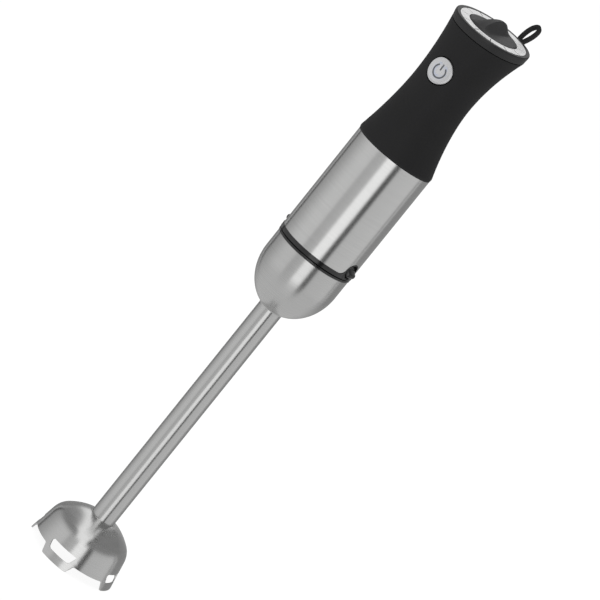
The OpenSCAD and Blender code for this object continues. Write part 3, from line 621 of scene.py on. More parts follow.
def key_finish(name, rgb, painted_glow):
    """Silver button paint with a painted glow: a cool blue tint in the base colour round the
    symbol stands in for light showing through; the button gives off no light.
    """
    f = Finish(name)
    z = f.z - KEY_Z
    r = (f.x * f.x + z * z) ** 0.5
    spin = f.add("CombineXYZ", {}, {0: f.x * 50, 1: z * 50, 2: r * 5000})
    rings = f.add("TexNoise", {}, {"Vector": spin, "Scale": 1.0, "Detail": 2.0})
    spark = f.noise(4200, 2.0)
    # Painted glow: a mottled ring round the symbol, tinted towards the glow colour in the base
    # colour.
    lit = r.near(3.9 * MM, 0.5 * MM, 1.5 * MM) * (f.noise(500, 2.0).rise(0.35, 0.65))
    tint = f.mix(rings * 0.5 + spark * 0.5, shade(rgb, 0.82), shade(rgb, 1.14))
    tint = f.mix(lit * 0.45, tint, painted_glow)
    return f.surface(tint, 0.27 + (spark - 0.5) * 0.14, spark * 0.4 + rings * 0.4, 0.006 * MM,
                     0.4, Metallic=0.85)


def finish(slot):
    """The material of one of the record's slots, made once from the scene's colours."""
    if slot in bpy.data.materials:
        found = bpy.data.materials[slot]
        if found.get("stick_made"):
            return found
        found.name = slot + "_plain"
    c = bpy.context.scene.stick.colours
    made = {
        "brushed_steel": lambda n: brushed(n, tuple(c.steel), 0.24),
        "shaft_steel": lambda n: brushed(n, tuple(c.shaft), 0.26, 0.8),
        "soft_grip": lambda n: soft_touch(n, tuple(c.grip)),
        "black_gloss": lambda n: moulded(n, tuple(c.gloss), 0.16, 1800, 0.002, 0.10, 0.4),
        "cap_black": lambda n: moulded(n, tuple(c.cap), 0.40, 4200, 0.008, 0.08),
        "dial_grey": lambda n: moulded(n, tuple(c.dial), 0.55, 4600, 0.012, 0.06),
        "scale_silver": lambda n: scale_finish(n, tuple(c.scale)),
        "button_silver": lambda n: key_finish(n, tuple(c.key), tuple(c.painted_glow)),
        "loop_rubber": lambda n: soft_touch(n, tuple(c.loop), 0.5),
        "seal_rubber": lambda n: soft_touch(n, (0.20, 0.035, 0.025), 0.5),
        "inner_plastic": lambda n: moulded(n, (0.035, 0.035, 0.037), 0.46, 3000, 0.010, 0.06),
        "coupler_plastic": lambda n: moulded(n, (0.52, 0.51, 0.48), 0.42, 2600, 0.010, 0.08),
        "bracket_metal": lambda n: cast(n, (0.46, 0.46, 0.47)),
        "machined_steel": lambda n: machined(n, (0.62, 0.62, 0.62)),
        "blade_steel": lambda n: machined(n, (0.72, 0.72, 0.72), 0.20),
        "lamination": lambda n: layered(n, (0.30, 0.30, 0.32), 0.5 * MM, 0.9, 0.36),
        "copper_wire": lambda n: layered(n, (0.76, 0.32, 0.13), 0.45 * MM, 0.9, 0.24,
                                         0.5),
        "brass": lambda n: machined(n, (0.78, 0.58, 0.26), 0.28),
        "carbon": lambda n: moulded(n, (0.05, 0.05, 0.052), 0.5, 5200, 0.02),
        "board_green": lambda n: board(n, (0.03, 0.16, 0.07)),
        "component_black": lambda n: moulded(n, (0.022, 0.022, 0.024), 0.42, 3800, 0.012),
        "component_blue": lambda n: moulded(n, (0.05, 0.12, 0.30), 0.35, 3000, 0.01),
        "capacitor_yellow": lambda n: moulded(n, (0.62, 0.44, 0.05), 0.36, 2400, 0.01),
        "lead_red": lambda n: moulded(n, (0.40, 0.02, 0.02), 0.38, 2600, 0.01),
        "symbol_grey": lambda n: moulded(n, tuple(c.symbol), 0.45, 4200, 0.006),
    }[slot](slot)
    made["stick_made"] = True
    return made


# ---- The grip's outline ----
class Outline:
    """Rings that shift, tilt and swell away from the waist. The swell is the distance from
    the waist over its span, to the power 1.75 below and 2 above; the radius is the waist's
    plus swell times the growth to the foot or the seam, less the foot's turned-in edge."""

    def __init__(self, grip, top):
        self.g = grip
        self.waist = Z_GRIP + grip.waist_height
        self.seam = Z_TOP - top.cap_height * math.cos(SLANT)
        self.seam_y = top.cap_height * math.sin(SLANT)
        self.seam_r = CAP_R - grip.seam_inset
        self.foot_r = BODY_R + grip.foot_proud

    def swell(self, z):
        below = np.clip((self.waist - z) / self.g.waist_height, 0, None) ** 1.75
        above = np.clip((z - self.waist) / (self.seam - self.waist), 0, None) ** 2
        return np.where(z < self.waist, below, above)

    def radius(self, z):
        grown = np.where(z < self.waist, self.foot_r, self.seam_r) - self.g.waist_radius
        edge = np.clip(1 - (z - Z_GRIP) / self.g.foot_edge, 0, None) ** 2
        return self.g.waist_radius + grown * self.swell(z) - self.g.foot_inset * edge

    def tilt(self, z):
        return SLANT * np.clip((z - self.waist) / (self.seam - self.waist), 0, None)

    def point(self, a, z):
        """Angle a on the ring at z: x = r cos a, y = shift + r sin a cos t, z + r sin a sin t."""
        a, z = np.broadcast_arrays(a, z)
        r, s, t = self.radius(z), self.swell(z), self.tilt(z)
        shift = -self.g.waist_shift * (1 - s) + np.where(z > self.waist, self.seam_y * s, 0)
        y = r * np.sin(a)
        return np.stack([r * np.cos(a), shift + y * np.cos(t), z + y * np.sin(t)], axis=-1)

    def front(self, x, z):
        """The ring height and angle of the front point that lies at x across and z up."""
        ring = z
        for _ in range(8):
            a = -np.arccos(np.clip(x / self.radius(ring), -1, 1))
            ring = z - self.radius(ring) * np.sin(a) * np.sin(self.tilt(ring))
        return a, ring


class STICK_OT_grip_cover(bpy.types.Operator):
    """Soft waisted cover with the hole for the power button"""
    bl_idname = "stick.grip_cover"
    bl_label = "Grip cover"
    bl_options = {"REGISTER", "UNDO"}

    def execute(self, context):
        """The outline's rings, cut round the button: a box of angles and heights is left out
        and filled with rows that run from the box in to the hole's circle."""
        s = context.scene.stick
        line = Outline(s.grip, s.top)
        hole = KEY_R + s.grip.key_gap
        a_lo, a_hi = np.radians([-128.0, -52.0])
        z_lo, z_hi = KEY_Z - 1.35 * hole, KEY_Z + 1.35 * hole
        side = np.linspace(z_lo, z_hi, 25)
        front = np.linspace(a_lo, a_hi, 37)
        rest = np.linspace(a_hi, a_lo + TAU, 121)
        columns = np.r_[front, rest[1:-1]]
        foot = Z_GRIP + (z_lo - Z_GRIP) * np.linspace(0, 1, 64) ** 1.3
        top = np.linspace(z_hi, line.seam, 22)
        box = loop_of([[(a_lo, z_lo), (a_hi, z_lo)], [(a_hi, z_lo), (a_hi, z_hi)],
                       [(a_hi, z_hi), (a_lo, z_hi)], [(a_lo, z_hi), (a_lo, z_lo)]],
                      (36, 24, 36, 24))
        ring = circle_of((0, KEY_Z), hole, (-135, -45, 45, 135, 225), (36, 24, 36, 24))
        rim = np.stack(line.front(ring[:, 0], ring[:, 1]), axis=1)
        fill = between(box, rim, 14)
        lower = line.point(columns, foot[:, None])
        upper = line.point(columns, top[:, None])
        around = line.point(rest, side[:, None])
        patches = [(lower, RING), (around, OPEN),
                   (line.point(fill[..., 0], fill[..., 1]), RING), (upper, RING)]
        piece("grip_cover_soft", patches, "motor_unit", ["grip_cover"], "soft_grip",
              wall=s.grip.cover_wall, edge=0.35 * MM)
        return {"FINISHED"}


class STICK_OT_top_cap(bpy.types.Operator):
    """Black cap with its rounded rim and the seats of the scale ring and the dial"""
    bl_idname = "stick.top_cap"
    bl_label = "Top cap"
    bl_options = {"REGISTER", "UNDO"}

    def execute(self, context):
        """One closed profile turned about the slanted axis."""
        t, g = context.scene.stick.top, context.scene.stick.grip
        seat = DIAL_R + t.dial_gap
        bore = HIGH["potentiometer_shaft"].x + 2.4 * MM
        h = t.cap_height - 0.3 * MM
        points = [(bore, -h), (CAP_R - g.seam_inset, -h), (CAP_R, -t.cap_edge * 0.9), (CAP_R, 0),
                  (SCALE_R, 0), (SCALE_R, -t.scale_depth), (seat, -t.scale_depth),
                  (seat, -t.dial_depth), (bore, -t.dial_depth)]
        radii = np.array([0.2, 0.45, 1.2, t.cap_edge / MM, 0.25, 0.1, 0.1, 0.2, 0.2]) * MM
        line = spaced(rounded(points, radii, closed=True, steps=8), 1.5 * MM)
        piece("top_cap_rim", [(to_top(lathe(line)), LOOPED)], "motor_unit", ["top_cap"],
              "cap_black")
        return {"FINISHED"}


class STICK_OT_scale_ring(bpy.types.Operator):
    """Silver scale ring with a fine bead round the dial"""
    bl_idname = "stick.scale_ring"
    bl_label = "Scale ring"
    bl_options = {"REGISTER", "UNDO"}

    def execute(self, context):
        """A closed profile turned about the slanted axis: a bead, a level field, a soft edge."""
        t = context.scene.stick.top
        inner = DIAL_R + t.dial_gap + 0.02 * MM
        outer = SCALE_R - 0.05 * MM
        d = t.scale_depth - 0.02 * MM
        points = [(inner, -d), (outer, -d), (outer, -0.12 * MM), (inner + 1.0 * MM, -0.18 * MM),
                  (inner + 0.85 * MM, -0.02 * MM), (inner, -0.02 * MM)]
        radii = np.array([0.05, 0.1, 0.25, 0.12, 0.25, 0.3]) * MM
        line = spaced(rounded(points, radii, closed=True), 0.8 * MM)
        ring = lathe(line, 960)
        a = np.arctan2(ring[..., 0], -ring[..., 1])
        off = np.abs((a / SCALE_STEP + 0.5) % 1 - 0.5) * SCALE_STEP * SCALE_R
        notch = (1 - smooth((off - 0.1 * MM) / (0.3 * MM))) * (np.abs(a) < 2.6)
        notch = notch * (np.hypot(ring[..., 0], ring[..., 1]) > inner + 1.1 * MM)
        ring[..., 2] = np.where(ring[..., 2] > -0.4 * MM, ring[..., 2] - 0.3 * MM * notch,
                                ring[..., 2])
        piece("scale_ring_face", [(to_top(ring), LOOPED)], "motor_unit",
              ["scale_ring"], "scale_silver")
        return {"FINISHED"}


class STICK_OT_speed_dial(bpy.types.Operator):
    """Speed dial with an arched finger ridge, one flank sloping and one scooped"""
    bl_idname = "stick.speed_dial"
    bl_label = "Speed dial"
    bl_options = {"REGISTER", "UNDO"}

    def execute(self, context):
        """A height over a disc. Square (p, q) goes to the disc by x = p sqrt(1 - q^2 / 2),
        y = q sqrt(1 - p^2 / 2). The crest is h (1 - |y / R|^2.4) along y; across it the height
        falls as a half cosine on the left and as (1 - t)^1.7 on the right."""
        t = context.scene.stick.top
        p = np.linspace(-1, 1, 161)
        p = np.sign(p) * np.abs(p) ** 1.5
        q = np.linspace(-1, 1, 121)
        p, q = np.meshgrid(p, q)
        x = DIAL_R * p * np.sqrt(1 - q * q / 2)
        y = DIAL_R * q * np.sqrt(1 - p * p / 2)
        crest = t.ridge_height * (1 - np.abs(y / DIAL_R) ** 2.4)
        left = 0.5 + 0.5 * np.cos(math.pi * np.clip((-x - 0.2 * MM) / t.ridge_left, 0, 1))
        right = (1 - np.clip((x - 0.6 * MM) / t.ridge_right, 0, 1)) ** 1.7
        face = 0.1 * MM
        z = face + np.clip(crest - face, 0, None) * np.where(x < 0, left, right)
        edge = smooth((DIAL_R - np.hypot(x, y)) / (0.7 * MM))
        z = z * edge + (face - 0.35 * MM) * (1 - edge)
        top = np.stack([x, y, z], axis=-1)
        rim = np.vstack([top[0, :-1], top[:-1, -1], top[-1, :0:-1], top[:0:-1, 0]])
        floor = -t.dial_depth + 0.4 * MM
        rows = [rim, rim * (1, 1, 0) + (0, 0, floor), rim * (0, 0, 0) + (0, 0, floor)]
        turn = t.ridge_turn
        patches = [(to_top(turned(top, turn)), OPEN),
                   (to_top(turned(np.stack(rows), turn)), RING)]
        hub = HIGH["potentiometer_shaft"].x
        stem = rounded([(hub, floor), (hub + 2 * MM, floor),
                        (hub + 2 * MM, -t.cap_height), (hub, -t.cap_height)],
                       0.2 * MM, closed=True)
        patches.append((to_top(lathe(spaced(stem, 1 * MM), 64)), LOOPED))
        piece("speed_dial_fin", patches, "dial", ["speed_dial"], "dial_grey", sharp=50)
        return {"FINISHED"}


class STICK_OT_power_button(bpy.types.Operator):
    """Silver power button with a raised rim, a hollow face and a plain standby symbol"""
    bl_idname = "stick.power_button"
    bl_label = "Power button"
    bl_options = {"REGISTER", "UNDO"}

    def execute(self, context):
        """The face sinks by dish (1 - (r / inner)^2) inside the rim. A stroke is a low
        half-oval carried along its path and drawn to a round end at both ends."""
        s = context.scene.stick
        k, line = s.key, Outline(s.grip, s.top)
        edge = KEY_R - k.trim
        inner, step = edge - k.rim, 0.15 * MM
        middle = line.point(*line.front(0, KEY_Z))[1]

        def sink(r):
            return step + (k.dish - step) * (1 - np.clip(r / inner, 0, 1) ** 2)

        def face_at(x, z, depth):
            cover = line.point(*line.front(x, z))[..., 1]
            return KEY_Y + depth + 0.85 * (cover - middle)

        r = np.linspace(0, inner, 24)[:, None]
        rim = rounded([(inner, sink(inner)), (inner + 0.3 * MM, 0), (edge - 0.25 * MM, 0),
                       (edge, 0.5 * MM), (edge, 1.2 * MM)],
                      np.array([0, 0.3, 0.25, 0.3, 0]) * MM)
        skin = spaced(np.vstack([np.hstack([r, sink(r)]), rim[1:]]), 0.8 * MM)
        a = np.linspace(0, TAU, 128, endpoint=False)
        x, z = skin[:, 0, None] * np.cos(a), KEY_Z + skin[:, 0, None] * np.sin(a)
        face = np.stack([x, face_at(x, z, skin[:, 1, None]), z], axis=-1)
        back = face[[-1, -1]] * (1, 0, 1) + (0, KEY_Y + k.depth, 0)
        back[1] = (0, KEY_Y + k.depth, KEY_Z)
        piece("power_button_face", [(np.concatenate([face, back]), RING)],
              "power_key", ["power_button"], "button_silver")

        half = k.symbol_stroke / 2

        def stroke(path):
            run = np.r_[0, np.cumsum(np.linalg.norm(np.diff(path, axis=0), axis=1))]
            end = np.clip(1 - np.minimum(run, run[-1] - run) / half, 0, 1)
            width = (half * np.sqrt(1 - end ** 2))[None, :, None]
            ahead = np.gradient(path, axis=0)
            ahead /= np.linalg.norm(ahead, axis=1)[:, None]
            aside = np.stack([-ahead[:, 1], ahead[:, 0]], axis=1)[None]
            a = np.linspace(0, TAU, 16, endpoint=False)[:, None, None]
            flat = path[None] + aside * width * np.cos(a)
            rise = 0.09 * MM * np.sin(a[..., 0]) * (width[..., 0] / half)
            x, z = flat[..., 0], KEY_Z + flat[..., 1]
            return np.stack([x, face_at(x, z, sink(np.linalg.norm(flat, axis=-1)) - rise), z],
                            axis=-1)

        a = np.linspace(TAU / 4 + k.symbol_gap, 5 * TAU / 4 - k.symbol_gap, 90)
        arc = k.symbol_radius * np.stack([np.cos(a), np.sin(a)], axis=1)
        bar = np.stack([np.zeros(24), np.linspace(0.1, 1.2, 24) * k.symbol_radius], axis=1)
        shift = np.array([0, -0.35 * MM])
        piece("power_symbol", [(stroke(arc + shift), (True, False)),
                               (stroke(bar + shift), (True, False))],
              "power_key", [], "button_silver").data.materials[0] = finish("symbol_grey")
        return {"FINISHED"}


# ---- The collar's lobes ----
LOBE_HALF = math.radians(34)


def lobe_sides(h, base, radius, grow=0.0):
    """The edge over one lobe as five sides, right to left: level, a hollow arc of radius
    sweep that meets the head's circle on a common tangent, over the head, and the same
    again. Points are (length round the wall, height); x across becomes R asin(x / R)."""
    head, rise = h.lobe_radius + grow, RELEASE_Z - base
    across = math.sqrt((head + h.sweep) ** 2 - (h.sweep - rise) ** 2)
    meet = math.atan2(h.sweep - rise, across)
    a = np.linspace(-math.pi / 2, -math.pi + meet, 41)
    hollow = np.stack([across + h.sweep * np.cos(a), base + h.sweep + h.sweep * np.sin(a)], 1)
    a = np.linspace(meet, math.pi - meet, 121)
    over = np.stack([head * np.cos(a), RELEASE_Z + head * np.sin(a)], 1)
    hollow[:, 0] = radius * np.arcsin(hollow[:, 0] / radius)
    over[:, 0] = radius * np.arcsin(over[:, 0] / radius)
    right = [np.array([[LOBE_HALF * radius, base], hollow[0]]), hollow]
    left = [(side * (-1, 1))[::-1] for side in right[::-1]]
    return [*right, over, *left], math.degrees(meet)


class STICK_OT_motor_housing(bpy.types.Operator):
    """Brushed steel sleeve, notched round the lobes of the collar"""
    bl_idname = "stick.motor_housing"
    bl_label = "Motor housing"
    bl_options = {"REGISTER", "UNDO"}

    def execute(self, context):
        """Columns start on the notched lower edge and spread to even angles on their way up:
        angle = edge angle (1 - w) + even angle w, with w smooth over the lobe's height."""
        h = context.scene.stick.housing
        base = Z_HOUSING + 0.05 * MM
        sides, _ = lobe_sides(h, base, BODY_R, h.notch_gap)
        counts = (6, 14, 56, 14, 6)
        edge = np.vstack([loop_of(sides, counts), [[-LOBE_HALF * BODY_R, base]]])[::-1]
        edge = edge[:-1] / (BODY_R, 1)
        gap = np.linspace(LOBE_HALF, math.pi - LOBE_HALF, 73)[:-1]
        half = np.vstack([edge, np.stack([gap, np.full(72, base)], axis=1)])
        lower = np.vstack([half, half + (math.pi, 0)])
        flat = np.concatenate([np.linspace(-LOBE_HALF, LOBE_HALF, len(edge) + 1)[:-1], gap])
        flat = np.concatenate([flat, flat + math.pi])
        v = np.linspace(0, 1, 61)[:, None]
        top = Z_GRIP - 0.02 * MM
        z = lower[:, 1] + (top - lower[:, 1]) * v ** 1.4
        w = smooth((z - RELEASE_Z) / (2.6 * h.lobe_radius)) * smooth(v * 8)
        a = lower[:, 0] * (1 - w) + flat * w
        piece("motor_housing_sleeve", [(on_wall(a, z, BODY_R), RING)], "motor_unit",
              ["motor_housing"], "brushed_steel", wall=h.wall, edge=0.15 * MM)
        return {"FINISHED"}


class STICK_OT_coupling_collar(bpy.types.Operator):
    """Glossy collar: a ring that sweeps up into a lobe on each side, and its nose below"""
    bl_idname = "stick.coupling_collar"
    bl_label = "Coupling collar"
    bl_options = {"REGISTER", "UNDO"}

    def execute(self, context):
        """Each side is a band with the lobe's edge on top and the pocket's circle cut out,
        filled with rows from the band's outline in to the circle. The rest is a plain ring."""
        h = context.scene.stick.housing
        low, wall = Z_COLLAR + 0.28 * MM, 1.5 * MM
        sides, meet = lobe_sides(h, Z_HOUSING, COLLAR_R)
        end = LOBE_HALF * COLLAR_R
        sides = [[(end, low), (end, Z_HOUSING)], *sides, [(-end, Z_HOUSING), (-end, low)],
                 [(-end, low), (end, low)]]
        counts = (6, 6, 14, 56, 14, 6, 6, 44)
        stops = (-56, -50, -43, meet, 180 - meet, 223, 230, 236, 304)
        pocket = POCKET_R + h.pocket_gap
        hole = circle_of((0, RELEASE_Z), pocket, stops, counts)
        hole[:, 0] = COLLAR_R * np.arcsin(hole[:, 0] / COLLAR_R)
        fill = between(loop_of(sides, counts), hole, 10) / (COLLAR_R, 1)
        side = np.linspace(low, Z_HOUSING, 7)[:, None]
        rest = np.linspace(LOBE_HALF, math.pi - LOBE_HALF, 73)
        patches = []
        for turn in (0, math.pi):
            patches += [(on_wall(fill[..., 0] + turn, fill[..., 1], COLLAR_R), RING),
                        (on_wall(rest + turn, side, COLLAR_R), OPEN)]
        piece("coupling_collar_band", patches, "motor_unit", ["coupling_collar"],
              "black_gloss", wall=wall, edge=0.32 * MM)

        nose = BODY_R - h.nose_inset
        shelf = rounded([(nose - 0.2 * MM, low), (COLLAR_R - 0.5 * MM, low),
                         (COLLAR_R - 0.5 * MM, low + 1.2 * MM),
                         (nose - 0.2 * MM, low + 1.2 * MM)], 0.1 * MM, closed=True)
        mouth = math.sqrt(COLLAR_R ** 2 - (pocket + 0.7 * MM) ** 2) - 0.2 * MM
        deep = nose + 0.1 * MM
        cup = rounded([(0, deep), (pocket + 0.7 * MM, deep), (pocket + 0.7 * MM, mouth),
                       (pocket, mouth), (pocket, deep + 0.6 * MM), (0, deep + 0.6 * MM)],
                      np.array([0, 0.3, 0.1, 0.1, 0.3, 0]) * MM)
        cup = lathe(spaced(cup, 1 * MM), 96)
        cup = np.stack([cup[..., 2], cup[..., 0], cup[..., 1] + RELEASE_Z], axis=-1)
        patches = [(lathe(spaced(shelf, 1 * MM)), LOOPED)]
        patches += [(turned(cup, turn), RING) for turn in (0, math.pi)]
        piece("coupling_collar_cups", patches, "motor_unit", ["coupling_collar"],
              "black_gloss")

        foot = LOW["coupling_collar"].z
        slot_z = np.array([foot + 1.6 * MM, foot + 5.4 * MM])
        wide, width, top = math.radians(20) * nose, 2.4 * MM, Z_COLLAR + 0.6 * MM
        counts = (24, 12, 24, 12)
        fill = between(loop_of(box_sides(-wide, wide, foot, top), counts),
                       loop_of(box_sides(-width, width, *slot_z), counts), 5) / (nose, 1)
        side = np.linspace(foot, top, 13)[:, None]
        rest = np.linspace(wide / nose, math.pi - wide / nose, 65)
        patches = []
        for turn in (0, math.pi):
            patches += [(on_wall(fill[..., 0] + turn, fill[..., 1], nose), RING),
                        (on_wall(rest + turn, side, nose), OPEN)]
        piece("coupling_collar_nose", patches, "motor_unit", ["coupling_collar"],
              "black_gloss", wall=h.nose_wall, edge=0.3 * MM)
        return {"FINISHED"}


def box_sides(a0, a1, z0, z1):
    """A box's four sides, bottom, right, top and left, each as two points."""
    return [[(a0, z0), (a1, z0)], [(a1, z0), (a1, z1)], [(a1, z1), (a0, z1)],
            [(a0, z1), (a0, z0)]]


class STICK_OT_release_buttons(bpy.types.Operator):
    """The two release buttons: a bulged thumb face, a level shelf and a catch"""
    bl_idname = "stick.release_buttons"
    bl_label = "Release buttons"
    bl_options = {"REGISTER", "UNDO"}

    def execute(self, context):
        """A disc whose face follows a profile in height (hollow above, a slanted flat, a
        round ledge and a level shelf) times a rounding across. Stem and catch are boxes
        with rounded edges."""
        h = context.scene.stick.housing
        back, shelf = COLLAR_R - 4.4 * MM, -0.62 * POCKET_R
        a = np.linspace(0, TAU, 96, endpoint=False)
        share = np.linspace(1, 0, 40)[:, None] ** 0.8
        y = POCKET_R * share * np.cos(a)
        z = np.maximum(POCKET_R * share * np.sin(a), shelf)
        start = COLLAR_R - 2.2 * MM
        at = np.array([-0.70, -0.62, -0.5, -0.3, -0.1, 0.0, 0.1, 0.16, 0.42, 0.48, 0.56, 1.0])
        out = np.array([0.55, 0.78, 0.93, 1.0, 0.97, 0.90, 0.74, 0.62, 0.34, 0.26, 0.24, 0.0])
        rise = np.interp(z / POCKET_R, at, out)
        across = np.clip(1 - (np.abs(y) / POCKET_R) ** 3.2, 0, 1) ** 0.5
        face = start + (TIP_R - 0.1 * MM - start) * rise * across
        grid = np.stack([face, y, RELEASE_Z + z], axis=-1)
        ring = grid[0] * (0, 1, 1)
        rows = np.stack([ring + (back, 0, 0), ring + (start - 0.05 * MM, 0, 0)])
        tail = np.broadcast_to((back, 0, RELEASE_Z), ring.shape)
        skin = np.concatenate([tail[None], rows, grid])
        low = LOW["release_button_right"]
        nose = BODY_R - h.nose_inset
        stem = block((low.x, back + 0.5 * MM), (-1.6 * MM, 1.6 * MM),
                     (STEM_Z - 1.6 * MM, STEM_Z + 1.6 * MM))
        leg = block((low.x, low.x + 2 * MM), (-2 * MM, 2 * MM), (low.z, STEM_Z + 1.6 * MM))
        catch = block((low.x, nose - 0.2 * MM), (-2 * MM, 2 * MM), (low.z, low.z + 3 * MM))
        for side, turn in (("right", 0), ("left", math.pi)):
            patches = [(turned(g, turn), RING) for g in (skin, stem, leg, catch)]
            piece("release_button_%s_thumb" % side, patches, "release_" + side,
                  ["release_button_" + side], "black_gloss", sharp=40)
        return {"FINISHED"}


def block(xs, ys, zs, soft=0.3 * MM):
    """A box along X with rounded long edges: a rounded rectangle in Y and Z carried from
    end to end and drawn in at both ends."""
    y0, y1, z0, z1 = *ys, *zs
    line = rounded([(y0, z0), (y1, z0), (y1, z1), (y0, z1)], soft, closed=True, steps=3)
    centre = np.array([(y0 + y1) / 2, (z0 + z1) / 2])
    x = np.array([xs[0], xs[0], xs[0] + soft, xs[1] - soft, xs[1], xs[1]])
    share = np.array([0, 1 - soft / (y1 - y0), 1, 1, 1 - soft / (y1 - y0), 0])
    flat = centre + (line - centre)[None] * share[:, None, None]
    return np.concatenate([np.broadcast_to(x[:, None, None], (*flat.shape[:2], 1)), flat], -1)


class STICK_OT_attachment_ring(bpy.types.Operator):
    """Thin glossy ring on the blending shaft with its index mark"""
    bl_idname = "stick.attachment_ring"
    bl_label = "Attachment ring"
    bl_options = {"REGISTER", "UNDO"}

    def execute(self, context):
        """A closed profile with rounded edges turned about Z."""
        h = context.scene.stick.housing
        inner = BODY_R - h.nose_inset + 0.4 * MM
        z0, z1 = Z_LOWER_RING, Z_COLLAR - 0.22 * MM
        line = rounded([(inner, z0), (RING_R, z0), (RING_R, z1), (inner, z1)],
                       np.array([0.2, 0.3, 0.55, 0.3]) * MM, closed=True)
        ring = lathe(spaced(line, 1.0 * MM))
        mark, half_width = math.radians(-90 + 33), 0.9 * MM
        a = mark + np.linspace(-1, 1, 12) * (half_width / RING_R)
        rise = np.linspace(0, 1, 10)[:, None]
        bump = 0.22 * MM * np.sin(math.pi * rise) * np.cos(np.linspace(-1, 1, 12) * math.pi / 2)
        z = z0 + 0.35 * MM + rise * (z1 - z0 - 0.8 * MM)
        root = RING_R - 0.05 * MM
        tick, under = on_wall(a, z, root + bump), on_wall(a, z, root)
        piece("attachment_ring_band", [(ring, LOOPED), (tick, OPEN), (under[:, ::-1], OPEN)],
              "blending_shaft", ["attachment_ring"], "black_gloss")
        return {"FINISHED"}


class STICK_OT_shaft(bpy.types.Operator):
    """Steel dome and tube of the blending shaft"""
    bl_idname = "stick.shaft"
    bl_label = "Shaft dome and tube"
    bl_options = {"REGISTER", "UNDO"}

    def execute(self, context):
        """The dome is a quarter ellipse, r = R sin a and z = base - depth cos a, under a
        straight wall. The tube is a closed profile turned about Z."""
        s = context.scene.stick.shaft
        base = Z_LOWER_RING - s.dome_wall
        depth = (base - LOW["shaft_dome"].z) / math.sqrt(1 - (TUBE_R / DOME_R) ** 2)
        a = np.linspace(math.asin(TUBE_R / DOME_R), TAU / 4, 56)
        curve = np.stack([DOME_R * np.sin(a), base - depth * np.cos(a)], axis=1)
        top = Z_LOWER_RING - 0.03 * MM
        lip = rounded([curve[-1], (DOME_R, top), (DOME_R - s.wall, top),
                       (DOME_R - s.wall, base)], np.array([0, 0.3, 0.2, 0]) * MM)
        inside = (curve[::-1] * ((DOME_R - s.wall) / DOME_R, 1) + (0, s.wall))
        inside = inside[inside[:, 0] > TUBE_R - 0.1 * MM]
        collar = [(TUBE_R - 0.1 * MM, inside[-1, 1]), (TUBE_R - 0.1 * MM, curve[0, 1] - 0.25 * MM),
                  (TUBE_R + 0.35 * MM, curve[0, 1] - 0.20 * MM)]
        line = spaced(np.vstack([curve[1:], lip[1:], inside[1:], collar]), 1.2 * MM)
        piece("shaft_dome_shell", [(lathe(line), LOOPED)], "blending_shaft", ["shaft_dome"],
              "shaft_steel")
        low, high = LOW["shaft_tube"].z, HIGH["shaft_tube"].z
        tube = rounded([(TUBE_R - s.wall, low), (TUBE_R, low), (TUBE_R, high),
                        (TUBE_R - s.wall, high)], 0.2 * MM, closed=True)
        piece("shaft_tube_steel", [(lathe(spaced(tube, 4 * MM), 96), LOOPED)],
              "blending_shaft", ["shaft_tube"], "shaft_steel")
        return {"FINISHED"}


